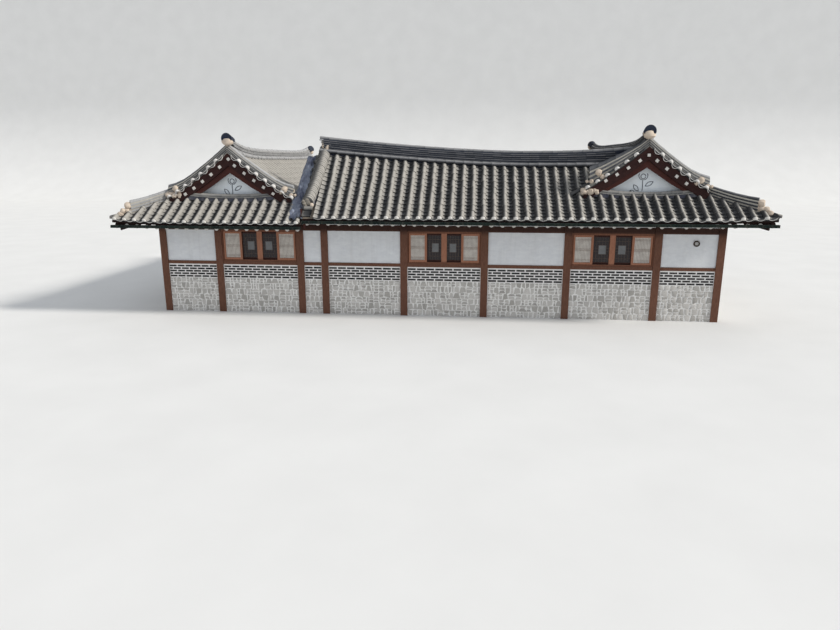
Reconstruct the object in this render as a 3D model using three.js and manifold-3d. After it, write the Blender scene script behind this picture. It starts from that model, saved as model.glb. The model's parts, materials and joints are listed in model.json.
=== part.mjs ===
// A one-storey Korean timber house with tiled roofs: a main block and two wings round a rear court.
// Millimetres. X runs along the front, Y from the front to the back, Z up from the ground.
// The plan is measured from the front eave line; the group is moved at the end, so that
// its origin lies on the ground under the middle of the house.

import * as THREE from "three";
import { mergeVertices } from "three/addons/utils/BufferGeometryUtils.js";
import Module from "manifold-3d";

const GAP = 0.3; // clearance between neighbouring pieces

// Roof plan
const WING_RIDGE_X = 6080; // middle of each wing
const WING_HALF = 3320; // wing ridge to wing eave, level
const MAIN_HALF = 2150; // main ridge to main eave, level
const EAVE_X = WING_RIDGE_X + WING_HALF;
const COURT_EAVE_X = WING_RIDGE_X - WING_HALF;
const MAIN_DEPTH = 2 * MAIN_HALF;
const HOUSE_DEPTH = 10900; // front eave to the wings' rear eaves
const MID_Y = HOUSE_DEPTH / 2;

// Roof heights
const EAVE_Z = 3000; // tile bed at a straight eave
const MAIN_RISE = 1400; // eave to main ridge
const MAIN_HOLLOW = 0.18; // share of the rise that the hollow curve brings
const WING_RISE = 1780; // eave to wing ridge, at the middle of its length
const WING_HOLLOW = 0.4;
const WING_SAG = { front: 220, rear: 60 }; // how much higher the wing ridge is at its ends
const LEFT_DROP = 170; // how much lower the left wing's roof lies than the right one's
const CORNER_LIFT = 80; // upturn of the eaves at the free corners
const LIFT_REACH = 2600; // length of eave that takes part in the upturn
const END_RISE = 440; // how much the main roof climbs to its left end
const END_RISE_FROM = 2700; // where that climb starts, clear of the right wing's roof
const LAYER_AT_EAVE = 200; // tiles, clay, boards and rafters together
const LAYER_GAIN = 160; // and this much more at the ridge

// Hip-and-gable ends of the wings
const GABLE_HALF = { right: 1730, left: 1950 }; // ridge line to the foot of the rake, level
const VERGE_Y = 850;
const SKIRT_END_Y = 1300;
const GABLE_WALL = [1170, 1250];
const BARGE_BOARD = [930, 975];
const BARGE_DEPTH = { ridge: 200, foot: 60 }; // below the lower face of the roof

// Main block's left gable, which stands over the left wing's roof
const MAIN_VERGE_X = -3650;
const MAIN_GABLE_WALL = [-3310.7, -3190];
const MAIN_BARGE_BOARD = [-3600, -3560];
const MAIN_ROOF_END_X = 5700; // inside the right wing's roof
const LEFT_ROOF_CUT_X = MAIN_GABLE_WALL[0] - GAP;
const LEFT_ROOF_SETBACK_X = MAIN_VERGE_X - 50;
const LEFT_ROOF_UNDER = [1000, 3300]; // stretch in which it runs on under the main verge

// Ridges laid of flat tiles: width and height over the tile bed
const MAIN_RIDGE = { width: 240, height: 490, leftLift: 20, rightLift: 120, rightLiftFrom: 3200 };
const WING_RIDGE = { width: 250, height: 370, lift: 160, overhang: 70 };
const RAKE = { width: 200, height: 300, inset: 10 };
const HIP = { width: 200, height: 330, lift: 150, liftReach: 1600, end: [260, 210] };
const VERGE = { width: 360, height: 270, setback: 400 };

// Post lines and heights of the walls
const FRONT_Y = 950;
const BACK_Y = 3350;
const REAR_Y = 9950;
const OUTER_X = 8320;
const INNER_X = 4000;
const MIDDLE_X = 6560;
const MAIN_POSTS = [-3250, -833, 1583];
const SIDE_POSTS = [BACK_Y, 5550, 7750];
const POST = 210;
const STONE_TOP = 1030;
const BRICK_TOP = 1500;
const RAIL_TOP = 1600;
const LINTEL = [2560, 2740];
const POST_TOP = 2980;
const FLOOR = [380, 500];
const BASE_TOP = 480;
const SILL_TOP = 600;

// Depths across a wall, outwards from its post line
const MASONRY = [-170, 70];
const PLASTER = [-170, 60];
const RAIL = [-170, 80];
const BEAM = [-75, 75];
const INFILL = [-30, 30];
const SILL = [-90, 80];
const COURT_BASE = [-130, 70];
const DOOR_STRIP = [-130, -POST / 2 - GAP];
const WINDOW_BOX = [-60, 60];

const GUTTER = { width: 110, height: 80, wall: 12, below: 60 };
const VENT = { x: 7620, z: 2300, radius: 87, length: 38, rim: 14, cup: 26 };
const FLASHING = { from: -4110, length: 2000, thickness: 4 };

const BELOW = 2000; // a height under every roof piece
const ABOVE = 9000; // a height over every roof piece
const BEYOND = 400; // how far a cutting block reaches past what it cuts

const wasm = await Module();
wasm.setup();

// Solids

function solid(geometry) {
  const bare = geometry.clone();
  bare.deleteAttribute("normal");
  bare.deleteAttribute("uv");
  const merged = mergeVertices(bare, 1e-4);
  const mesh = new wasm.Mesh({
    numProp: 3,
    vertProperties: merged.attributes.position.array,
    triVerts: new Uint32Array(merged.index.array),
  });
  return new wasm.Manifold(mesh);
}

const joined = (solids) => solids.reduce((all, one) => all.add(one));
const grown = ([low, high]) => [low - GAP, high + GAP];
const shrunk = ([low, high]) => [low + GAP, high - GAP];

// The largest body of a cut solid, without the crumbs that a cut along a curved face leaves
function mainBody(s) {
  const bodies = s.decompose().sort((a, b) => b.volume() - a.volume());
  return bodies[0];
}

// A height that is one number, or a function of the place
const heightAt = (value, x, y) => (typeof value === "number" ? value : value(x, y));

// A block on a grid of x and y lines, between two heights that may change from point to point
function block(xs, ys, bottom, top) {
  const nx = xs.length - 1;
  const ny = ys.length - 1;
  const geometry = new THREE.BoxGeometry(nx, ny, 1, nx, ny, 1);
  const p = geometry.attributes.position;
  for (let i = 0; i < p.count; i++) {
    const x = xs[Math.round(p.getX(i) + nx / 2)];
    const y = ys[Math.round(p.getY(i) + ny / 2)];
    p.setXYZ(i, x, y, heightAt(p.getZ(i) > 0 ? top : bottom, x, y));
  }
  return solid(geometry);
}

const box = (x, y, z) => block(x, y, z[0], z[1]);

// An upright prism on a plan outline
function prism(points, z) {
  const outline = new THREE.Shape(points.map(([x, y]) => new THREE.Vector2(x, y)));
  const geometry = new THREE.ExtrudeGeometry(outline, { depth: z[1] - z[0], bevelEnabled: false });
  return solid(geometry.translate(0, 0, z[0]));
}

// Roof surfaces

// Height above the eave of a hollow-curved slope, d inside its eave
function slope(d, half, rise, hollow) {
  const t = d / half;
  return rise * ((1 - hollow) * t + hollow * t * t);
}

function cornerLift(x, y) {
  const corners = [[EAVE_X, 0], [EAVE_X, HOUSE_DEPTH], [COURT_EAVE_X, HOUSE_DEPTH]];
  const lifts = corners.map(([cx, cy]) => {
    const near = Math.max(0, 1 - Math.hypot(Math.abs(x) - cx, y - cy) / LIFT_REACH);
    return CORNER_LIFT * near * near;
  });
  return lifts.reduce((sum, lift) => sum + lift, 0);
}

const wingInset = (x) => WING_HALF - Math.abs(Math.abs(x) - WING_RIDGE_X);
const endInset = (y) => Math.min(y, HOUSE_DEPTH - y, 4000);
const mainInset = (y) => MAIN_HALF - Math.abs(y - MAIN_HALF);
const layer = (d, half) => LAYER_AT_EAVE + (LAYER_GAIN * d) / half;

const eaveTop = (x) => (x < 0 ? EAVE_Z - LEFT_DROP : EAVE_Z);

// Share of the way from the middle of a wing to the verge of its nearer end
const towardsEnd = (y) => Math.abs(y - MID_Y) / (MID_Y - VERGE_Y);

function wingTop(x, y) {
  const sag = y < MID_Y ? WING_SAG.front : WING_SAG.rear;
  const rise = WING_RISE + sag * towardsEnd(y) ** 4;
  return eaveTop(x) + slope(wingInset(x), WING_HALF, rise, WING_HOLLOW) + cornerLift(x, y);
}

const mainSlope = (inset) => slope(inset, MAIN_HALF, MAIN_RISE, MAIN_HOLLOW);
const endTop = (x, y) => eaveTop(x) + mainSlope(endInset(y)) + cornerLift(x, y);

// Share of the way that the main roof has climbed towards its left end
const towardsLeft = (x) => Math.max(0, (END_RISE_FROM - x) / (END_RISE_FROM - MAIN_VERGE_X));

function mainTop(x, y) {
  const climb = (END_RISE * towardsLeft(x) ** 1.5 * mainInset(y)) / MAIN_HALF;
  return EAVE_Z + mainSlope(mainInset(y)) + climb;
}

// Grid lines: each ridge, and enough lines between to carry the curves
const SLOPE_LINES = [0, 430, 860, 1290, 1720, MAIN_HALF];
const WING_LINES = [0, 0.2, 0.4, 0.6, 0.8, 1].map((t) => t * WING_HALF);
const MIDDLE_LINES = [3225, 4300, MID_Y];
const mirroredLines = (lines, middle) => [...lines, ...lines.map((v) => 2 * middle - v).reverse()];

const DEPTH_LINES = [...new Set(mirroredLines([...SLOPE_LINES, ...MIDDLE_LINES], MID_Y))];
const MAIN_DEPTH_LINES = [...new Set(mirroredLines(SLOPE_LINES, MAIN_HALF))];
const CLIMB_STEPS = [0, 1, 2, 3, 4, 5, 6, 7, 8];
const MAIN_LINES = [
  ...CLIMB_STEPS.map((i) => MAIN_VERGE_X + (i * (END_RISE_FROM - MAIN_VERGE_X)) / 8),
  MAIN_ROOF_END_X,
];
const WING_WIDTH_LINES = [
  ...new Set(mirroredLines(WING_LINES.map((d) => COURT_EAVE_X + d), WING_RIDGE_X)),
];

// The outermost lines moved out, so that a cutting block leaves no skin at the edges
function reaching(lines, by) {
  const wide = [...lines];
  wide[0] -= by;
  wide[wide.length - 1] += by;
  return wide;
}

const sideLines = (side) => (side > 0 ? WING_WIDTH_LINES : WING_WIDTH_LINES.map((x) => -x).reverse());

// Everything under a wing's long slopes, its end slopes or the main slopes, raised by so much;
// with layered true it is everything under the roof's lower face instead
function underWing(side, raise, layered = false) {
  const height = (x, y) => {
    const thick = layered ? layer(wingInset(x), WING_HALF) : 0;
    return wingTop(x, y) + heightAt(raise, x, y) - thick;
  };
  const edge = layered ? 1 : 0;
  return block(reaching(sideLines(side), edge), reaching(DEPTH_LINES, edge), BELOW - edge, height);
}

function underEnds(side, raise, layered = false) {
  const height = (x, y) => {
    const thick = layered ? layer(endInset(y), MAIN_HALF) : 0;
    return endTop(x, y) + heightAt(raise, x, y) - thick;
  };
  const edge = layered ? 1 : 0;
  return block(reaching(sideLines(side), edge), reaching(DEPTH_LINES, edge), BELOW - edge, height);
}

function underMain(raise, layered = false) {
  const height = (x, y) => {
    const thick = layered ? layer(mainInset(y), MAIN_HALF) : 0;
    return mainTop(x, y) + raise - thick;
  };
  const edge = layered ? 1 : 0;
  return block(reaching(MAIN_LINES, edge), reaching(MAIN_DEPTH_LINES, edge), BELOW - edge, height);
}

const underHips = (side, raise, layered) =>
  underWing(side, raise, layered).intersect(underEnds(side, raise, layered));

const gableHalf = (side) => (side > 0 ? GABLE_HALF.right : GABLE_HALF.left);
const mirroredY = ([from, to]) => [HOUSE_DEPTH - to, HOUSE_DEPTH - from];
const ridgeBand = (side, half) => [side * WING_RIDGE_X - half, side * WING_RIDGE_X + half];

// The stretch of a wing that the gabled upper roof covers
const gabledZone = (side, clearance = 0) =>
  box(
    ridgeBand(side, gableHalf(side) + clearance),
    [VERGE_Y - clearance, HOUSE_DEPTH - VERGE_Y + clearance],
    [BELOW, ABOVE],
  );

function wingRoof(side) {
  const across = [side * WING_RIDGE_X - WING_HALF - 1, side * WING_RIDGE_X + WING_HALF + 1];
  const slopes = underWing(side, 0)
    .subtract(underWing(side, 0, true))
    .intersect(underEnds(side, 0).add(gabledZone(side)));
  const front = box(across, [-BEYOND, SKIRT_END_Y], [BELOW, ABOVE]);
  const rear = box(across, mirroredY([-BEYOND, SKIRT_END_Y]), [BELOW, ABOVE]);
  const skirts = underEnds(side, 0)
    .subtract(underEnds(side, 0, true))
    .intersect(underWing(side, 0))
    .intersect(front.add(rear));
  return slopes.add(skirts);
}

const wingAttic = (side) =>
  underWing(side, 0, true).intersect(
    box(
      ridgeBand(side, WING_HALF + BEYOND),
      [SKIRT_END_Y, HOUSE_DEPTH - SKIRT_END_Y],
      [BELOW - 1, ABOVE],
    ),
  );

// The right wing's share of the joined roofs, cut along the valleys
const VALLEY_TOP_X = 5480;
const VALLEY_BEND = [4270, 3225]; // at the rear, where both slopes are equally high
const FOOT_X = WING_RIDGE_X - GABLE_HALF.right;
function rightShare(clearance) {
  const inner = [
    [FOOT_X, -BEYOND],
    [FOOT_X, VERGE_Y + BEYOND],
    [VALLEY_TOP_X, MAIN_HALF],
    VALLEY_BEND,
    [COURT_EAVE_X, MAIN_DEPTH],
    [COURT_EAVE_X - BEYOND, MAIN_DEPTH],
    [COURT_EAVE_X - BEYOND, HOUSE_DEPTH + BEYOND],
  ].map(([x, y]) => [x - clearance, y - clearance * (y === MAIN_DEPTH ? 1 : 0)]);
  const outer = [
    [EAVE_X + BEYOND, HOUSE_DEPTH + BEYOND],
    [EAVE_X + BEYOND, -BEYOND],
  ];
  return prism([...inner, ...outer], [BELOW, ABOVE]);
}

const mainShell = underMain(0).subtract(underMain(0, true));
const joinedRoofs = wingRoof(1)
  .add(mainShell)
  .subtract(wingAttic(1))
  .subtract(underMain(0, true));
const rightRoof = mainBody(joinedRoofs.intersect(rightShare(0)));
const mainRoof = mainBody(joinedRoofs.subtract(rightShare(GAP)));

// The left wing's roof makes room for the main gable
const leftCuts = [
  box([LEFT_ROOF_CUT_X, 0], [-BEYOND, MAIN_DEPTH + 50], [BELOW, ABOVE]),
  box([LEFT_ROOF_SETBACK_X, 0], [-BEYOND, LEFT_ROOF_UNDER[0]], [BELOW, ABOVE]),
  box([LEFT_ROOF_SETBACK_X, 0], [LEFT_ROOF_UNDER[1], MAIN_DEPTH + 50], [BELOW, ABOVE]),
];
const leftRoof = mainBody(wingRoof(-1).subtract(wingAttic(-1)).subtract(joined(leftCuts)));

// Gable walls and bargeboards of the wings

function gableWall(side, depth) {
  return mainBody(
    box(ridgeBand(side, gableHalf(side)), depth, [EAVE_Z, ABOVE])
      .intersect(underWing(side, -GAP, true))
      .subtract(underEnds(side, GAP)),
  );
}

function bargeBoards(side, depth) {
  const { ridge, foot } = BARGE_DEPTH;
  const lowerEdge = (x) => {
    const out = Math.abs(Math.abs(x) - WING_RIDGE_X) / gableHalf(side);
    return -GAP - ridge + (ridge - foot) * Math.min(1, out);
  };
  return mainBody(
    box(ridgeBand(side, gableHalf(side) - 20), depth, [EAVE_Z, ABOVE])
      .intersect(underWing(side, -GAP, true))
      .subtract(underWing(side, lowerEdge, true))
      .subtract(underEnds(side, GAP)),
  );
}

// Ridges

function rakes(side, atRear, clearance = 0) {
  const from = VERGE_Y + RAKE.inset;
  const near = [from - clearance, from + RAKE.width + clearance];
  return box(ridgeBand(side, gableHalf(side)), atRear ? mirroredY(near) : near, [BELOW, ABOVE])
    .intersect(underWing(side, RAKE.height + clearance))
    .subtract(underWing(side, GAP - clearance));
}

// The bar of flat tiles along a wing's ridge, which passes over the tops of the rakes
function wingRidge(side) {
  const ends = [VERGE_Y - WING_RIDGE.overhang, HOUSE_DEPTH - VERGE_Y + WING_RIDGE.overhang];
  const lines = DEPTH_LINES.filter((y) => y > ends[0] && y < ends[1]);
  const top = (x, y) => wingTop(x, y) + WING_RIDGE.height + WING_RIDGE.lift * towardsEnd(y) ** 6;
  return block(ridgeBand(side, WING_RIDGE.width / 2), [ends[0], ...lines, ends[1]], BELOW, top)
    .subtract(underWing(side, GAP))
    .subtract(rakes(side, false, GAP))
    .subtract(rakes(side, true, GAP));
}

const vergeRidge = (clearance = 0) =>
  box(
    [MAIN_VERGE_X + 10 - clearance, MAIN_VERGE_X + 10 + VERGE.width + clearance],
    [VERGE.setback - clearance, MAIN_DEPTH - VERGE.setback + clearance],
    [BELOW, ABOVE],
  )
    .intersect(underMain(VERGE.height + clearance))
    .subtract(underMain(GAP - clearance));

// The bar of flat tiles along the main ridge, which passes over the verge ridge
// and runs on to the right wing's ridge
function mainRidge() {
  const half = MAIN_RIDGE.width / 2;
  const wingSide = WING_RIDGE_X - WING_RIDGE.width / 2 - GAP;
  const lines = [...MAIN_LINES.filter((x) => x < 5000), 3700, 4700, wingSide];
  const top = (x) => {
    const from = MAIN_RIDGE.rightLiftFrom;
    const right = Math.max(0, (x - from) / (wingSide - from));
    const lift = MAIN_RIDGE.leftLift * towardsLeft(x) ** 2 + MAIN_RIDGE.rightLift * right ** 2;
    return mainTop(x, MAIN_HALF) + MAIN_RIDGE.height + lift;
  };
  return mainBody(
    block(lines, [MAIN_HALF - half, MAIN_HALF + half], BELOW, top)
      .subtract(underMain(GAP))
      .subtract(underWing(1, GAP))
      .subtract(vergeRidge(GAP)),
  );
}

// One hip ridge, from beside the rake's foot down towards the corner of the eaves
function hip(side, outward, atRear) {
  const foot = [WING_HALF - gableHalf(side) + 150, VERGE_Y + RAKE.width + 100];
  const { end } = HIP;
  const way = new THREE.Vector2(end[0] - foot[0], end[1] - foot[1]).normalize();
  const aside = new THREE.Vector2(-way.y, way.x).multiplyScalar(HIP.width / 2);
  const inset = [
    [foot[0] + aside.x, foot[1] + aside.y],
    [end[0] + aside.x, end[1] + aside.y],
    [end[0] - aside.x, end[1] - aside.y],
    [foot[0] - aside.x, foot[1] - aside.y],
  ];
  const plan = inset.map(([dx, dy]) => [
    side * (outward ? EAVE_X - dx : COURT_EAVE_X + dx),
    atRear ? HOUSE_DEPTH - dy : dy,
  ]);
  const height = (x, y) => {
    const across = outward ? EAVE_X - Math.abs(x) : Math.abs(x) - COURT_EAVE_X;
    const near = Math.max(0, 1 - Math.hypot(across, endInset(y)) / HIP.liftReach);
    return HIP.height + HIP.lift * near * near;
  };
  return prism(plan, [BELOW, ABOVE])
    .intersect(underHips(side, height))
    .subtract(underHips(side, GAP))
    .subtract(underWing(side, GAP).intersect(gabledZone(side, GAP)));
}

function endRidges(side, atRear) {
  const bars = [rakes(side, atRear), hip(side, true, atRear)];
  if (atRear) bars.push(hip(side, false, atRear));
  return joined(bars);
}

// Walls

const WALLS = {
  front: (along, out) => [along, FRONT_Y - out],
  court: (along, out) => [along, BACK_Y + out],
  rear: (along, out) => [along, REAR_Y + out],
  right: (along, out) => [OUTER_X + out, along],
  left: (along, out) => [-OUTER_X - out, along],
  rightCourt: (along, out) => [INNER_X - out, along],
  leftCourt: (along, out) => [out - INNER_X, along],
};

// A straight piece of a wall: its stretch along it, its depth across it and its heights
function slab(wall, along, depth, z) {
  const [x0, y0] = WALLS[wall](along[0], depth[0]);
  const [x1, y1] = WALLS[wall](along[1], depth[1]);
  return box([Math.min(x0, x1), Math.max(x0, x1)], [Math.min(y0, y1), Math.max(y0, y1)], z);
}

const around = (at) => [at - POST / 2, at + POST / 2];
const post = (wall, at, clearance = 0) => {
  const [from, to] = around(at);
  const side = [-POST / 2 - clearance, POST / 2 + clearance];
  return slab(wall, [from - clearance, to + clearance], side, [0 - clearance, POST_TOP + clearance]);
};

// Room under the roofs, a gap short of their lower faces
const attic = joined([
  underHips(1, -GAP, true),
  underMain(-GAP, true).intersect(
    box([MAIN_GABLE_WALL[0], EAVE_X], [-BEYOND, MAIN_DEPTH + BEYOND], [BELOW, ABOVE]),
  ),
  underHips(-1, -GAP, true).intersect(
    box([-EAVE_X - BEYOND, MAIN_GABLE_WALL[0]], [-BEYOND, HOUSE_DEPTH + BEYOND], [BELOW, ABOVE]),
  ),
]).add(box([-EAVE_X, EAVE_X], [-BEYOND, HOUSE_DEPTH + BEYOND], [-BEYOND, BELOW + 50]));

// Plates on the posts of a wall, which are cut to the slope above
const PLATE = [POST_TOP, POST_TOP + 600];
const plate = (wall, along) => slab(wall, along, BEAM, PLATE);

// Rail, lintel and plate over a walled stretch, with its posts
function wallFrame(wall, posts, stretch, plateStretch) {
  const beams = [
    slab(wall, stretch, RAIL, [BRICK_TOP, RAIL_TOP]),
    slab(wall, stretch, BEAM, LINTEL),
    plate(wall, plateStretch),
  ];
  return joined([...posts.map((at) => post(wall, at)), ...beams]).intersect(attic);
}

// Sill, lintel, boards and plate over a stretch with doors, with its posts
function doorFrame(wall, posts, stretch, plateStretch) {
  const beams = [
    slab(wall, stretch, SILL, [BASE_TOP + GAP, SILL_TOP]),
    slab(wall, stretch, BEAM, LINTEL),
    slab(wall, stretch, INFILL, [LINTEL[1], POST_TOP]),
    plate(wall, plateStretch),
  ];
  return joined([...posts.map((at) => post(wall, at)), ...beams]).intersect(attic);
}

const postCuts = (wall, posts) => joined(posts.map((at) => post(wall, at, GAP)));

// Stretches between the corner posts, and between the thick end walls
const frontStretch = [-OUTER_X + POST / 2 + GAP, OUTER_X - POST / 2 - GAP];
const sideStretch = [FRONT_Y + POST / 2, REAR_Y - POST / 2];
const sideWallStretch = [FRONT_Y - MASONRY[0] + GAP, REAR_Y + MASONRY[0] - GAP];
const courtStretch = [BACK_Y + POST / 2, REAR_Y - POST / 2];
const mainCourtStretch = [-INNER_X + POST / 2 + GAP, INNER_X - POST / 2 - GAP];
const rearStretch = [INNER_X + POST / 2 + GAP, OUTER_X - POST / 2 - GAP];
const flipped = ([from, to]) => [-to, -from];

const FRONT_POSTS = [-MIDDLE_X, -INNER_X, ...MAIN_POSTS, INNER_X, MIDDLE_X];
const WINDOW_BAYS = {
  left_wing_front_window: [-MIDDLE_X, -INNER_X],
  main_front_window: [MAIN_POSTS[1], MAIN_POSTS[2]],
  right_wing_front_window: [INNER_X, MIDDLE_X],
};
const clearOf = ([from, to]) => [from + POST / 2, to - POST / 2];

// Front wall

const frontEnds = [-OUTER_X - MASONRY[1], OUTER_X + MASONRY[1]];
const frontPosts = postCuts("front", [-OUTER_X, ...FRONT_POSTS, OUTER_X]);
const frontFrame = wallFrame("front", FRONT_POSTS, frontStretch, [
  -OUTER_X - BEAM[0] + GAP,
  OUTER_X + BEAM[0] - GAP,
]);
const frontStone = slab("front", frontEnds, MASONRY, [0, STONE_TOP]).subtract(frontPosts);
const frontBrick = slab("front", frontEnds, MASONRY, [STONE_TOP + GAP, BRICK_TOP - GAP]).subtract(
  frontPosts,
);

const lintelCut = (wall, [from, to]) => slab(wall, [from - 1, to + 1], grown(BEAM), grown(LINTEL));
const sideLintelCuts = lintelCut("right", sideStretch).add(lintelCut("left", sideStretch));

function plasterWall(wall, ends, posts, bays = []) {
  let s = slab(wall, ends, PLASTER, [RAIL_TOP + GAP, POST_TOP - GAP])
    .subtract(posts)
    .subtract(lintelCut(wall, ends))
    .subtract(sideLintelCuts);
  for (const bay of bays) {
    s = s.subtract(slab(wall, clearOf(bay), [-BEYOND, BEYOND], [BRICK_TOP, LINTEL[0]]));
  }
  return s.intersect(attic);
}

const plasterEnds = [-OUTER_X - PLASTER[1], OUTER_X + PLASTER[1]];
const frontPlaster = mainBody(
  plasterWall("front", plasterEnds, frontPosts, Object.values(WINDOW_BAYS)),
);

// A window: its box, and four sashes in two planes with sunk panes
function windowUnit(bay) {
  const [from, to] = shrunk(clearOf(bay));
  const z = shrunk([RAIL_TOP, LINTEL[0]]);
  const edge = 50;
  const opening = slab("front", [from + edge, to - edge], [-BEYOND, BEYOND], [z[0] + edge, z[1] - edge]);
  const frame = slab("front", [from, to], WINDOW_BOX, z).subtract(opening);
  const width = (to - from - 2 * edge) / 4;
  const sashes = [0, 1, 2, 3].map((i) => {
    const outer = i === 0 || i === 3;
    const depth = outer ? [4, 40] : [-32, 5];
    const left = from + edge + i * width;
    const overlap = i === 1 || i === 2 ? 25 : 1;
    const across = [left - overlap, left + width + (i === 3 ? 1 : overlap)];
    const sash = slab("front", across, depth, [z[0] + edge - 1, z[1] - edge + 1]);
    const pane = [across[0] + 55, across[1] - 55];
    const height = [z[0] + edge + 60, z[1] - edge - 60];
    return sash.subtract(slab("front", pane, [depth[1] - 10, depth[1] + 10], height));
  });
  return joined([frame, ...sashes]);
}

// Side and rear walls of a wing, right or left

function sideWalls(side) {
  const wall = side > 0 ? "right" : "left";
  const ends = [FRONT_Y, REAR_Y];
  const cuts = postCuts(wall, [...ends, ...SIDE_POSTS]);
  const near = [-POST / 2, RAIL[1]];
  const frame = joined([
    ...[...ends, ...SIDE_POSTS].map((at) => post(wall, at)),
    slab(wall, sideWallStretch, RAIL, [BRICK_TOP, RAIL_TOP]),
    slab(wall, sideStretch, near, [BRICK_TOP, RAIL_TOP]),
    slab(wall, sideStretch, BEAM, LINTEL),
    plate(wall, [FRONT_Y + BEAM[0], REAR_Y + BEAM[1]]),
  ]).intersect(attic);
  return {
    frame,
    masonry: slab(wall, sideWallStretch, MASONRY, [0, BRICK_TOP - GAP]).subtract(cuts),
    plaster: mainBody(plasterWall(wall, sideWallStretch, cuts)),
  };
}

function rearWalls(side) {
  const turn = side > 0 ? (s) => s : flipped;
  const posts = [INNER_X, MIDDLE_X, OUTER_X].map((x) => side * x);
  const cuts = postCuts("rear", posts);
  const masonryEnds = turn([INNER_X + POST / 2 + GAP, OUTER_X + MASONRY[1]]);
  const plasterEnd = turn([INNER_X + POST / 2 + GAP, OUTER_X + PLASTER[1]]);
  const plateStretch = turn([INNER_X - BEAM[0] + GAP, OUTER_X + BEAM[0] - GAP]);
  return {
    frame: wallFrame("rear", [side * MIDDLE_X], turn(rearStretch), plateStretch),
    masonry: slab("rear", masonryEnds, MASONRY, [0, BRICK_TOP - GAP]).subtract(cuts),
    plaster: mainBody(plasterWall("rear", plasterEnd, cuts)),
  };
}

// A run of lattice doors as one strip behind the posts, with a sunk pane for each leaf
function doorStrip(wall, stretch, bays, leaves) {
  let s = slab(wall, stretch, DOOR_STRIP, [BASE_TOP + GAP, LINTEL[0] + 60]);
  for (const bay of bays) {
    const [from, to] = clearOf(bay);
    const width = (to - from) / leaves;
    for (let i = 0; i < leaves; i++) {
      const pane = [from + i * width + 50, from + (i + 1) * width - 50];
      const sunk = [DOOR_STRIP[1] - 12, DOOR_STRIP[1] + 20];
      s = s.subtract(slab(wall, pane, sunk, [SILL_TOP + 480, LINTEL[0] - 60]));
    }
  }
  return s;
}

function courtWalls(side) {
  const wall = side > 0 ? "rightCourt" : "leftCourt";
  const posts = [BACK_Y, ...SIDE_POSTS.slice(1), REAR_Y];
  const bays = posts.slice(1).map((at, i) => [posts[i], at]);
  const baseEnds = [BACK_Y + COURT_BASE[0], sideWallStretch[1]];
  const stripEnds = [BACK_Y + POST / 2, sideWallStretch[1]];
  return {
    frame: doorFrame(wall, posts, courtStretch, [BACK_Y + BEAM[0], REAR_Y + BEAM[1]]),
    base: slab(wall, baseEnds, COURT_BASE, [0, BASE_TOP]).subtract(postCuts(wall, posts)),
    doors: doorStrip(wall, stripEnds, bays, 4),
  };
}

// Rear wall of the main block, with the open hall in its middle bay

const hall = [MAIN_POSTS[1], MAIN_POSTS[2]];
const mainCourtFrame = doorFrame("court", MAIN_POSTS, mainCourtStretch, [
  -INNER_X - BEAM[0] + GAP,
  INNER_X + BEAM[0] - GAP,
]);
const mainBaseEnds = [-INNER_X + COURT_BASE[1] + GAP, INNER_X - COURT_BASE[1] - GAP];
const mainCourtBase = slab("court", mainBaseEnds, COURT_BASE, [0, BASE_TOP]).subtract(
  postCuts("court", [-INNER_X, ...MAIN_POSTS, INNER_X]),
);
const leftDoors = doorStrip(
  "court",
  [mainCourtStretch[0], around(hall[0])[1]],
  [[MAIN_POSTS[0], MAIN_POSTS[1]]],
  4,
);
const rightDoors = doorStrip(
  "court",
  [around(hall[1])[0], mainCourtStretch[1]],
  [[MAIN_POSTS[2], INNER_X]],
  4,
);

// Two sliding leaves pushed together over the left half of the hall
function slidingDoors() {
  const from = around(hall[0])[1] + GAP;
  const leaf = 1140;
  const z = shrunk([SILL_TOP, LINTEL[0]]);
  const leaves = [[-38, 0], [0, 38]].map((depth) => slab("court", [from, from + leaf], depth, z));
  const sunk = slab("court", [from + 70, from + leaf - 70], [28, 60], [z[0] + 500, z[1] - 80]);
  return joined(leaves).subtract(sunk);
}

// Floors on the level of the sills
const floorDepth = [FRONT_Y - MASONRY[0] + GAP, BACK_Y + COURT_BASE[0] - GAP];
const floorEdge = INNER_X - COURT_BASE[0];
const mainFloor = box([-floorEdge, floorEdge], floorDepth, FLOOR);
const wingFloor = (side) => {
  const across = [floorEdge + GAP, OUTER_X + MASONRY[0] - GAP];
  return box(side > 0 ? across : flipped(across), sideWallStretch, FLOOR);
};

// Main gable, its bargeboards, and the sheet metal beside it

const gableFoot = box(MAIN_GABLE_WALL, [VERGE_Y, MAIN_DEPTH - VERGE_Y], [POST_TOP + GAP, ABOVE]);
const gableRoot = box(
  MAIN_GABLE_WALL,
  [floorDepth[0], BACK_Y - POST / 2 - GAP],
  [POST_TOP - 130, POST_TOP + 1],
);
const plateCut = (wall) => slab(wall, [-INNER_X, 0], grown(BEAM), grown(PLATE));
const mainGable = mainBody(
  gableFoot
    .add(gableRoot)
    .intersect(underMain(-GAP, true))
    .subtract(plateCut("front"))
    .subtract(plateCut("court")),
);

const mainBarge = mainBody(
  box(MAIN_BARGE_BOARD, [0, MAIN_DEPTH], [BELOW, ABOVE])
    .intersect(underMain(-GAP, true))
    .subtract(underMain(-GAP - BARGE_DEPTH.ridge, true))
    .subtract(underHips(-1, GAP)),
);

const flashing = box([FLASHING.from, LEFT_ROOF_SETBACK_X - 3], [0, FLASHING.length], [BELOW, ABOVE])
  .intersect(underHips(-1, GAP + FLASHING.thickness))
  .subtract(underHips(-1, GAP));

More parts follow.
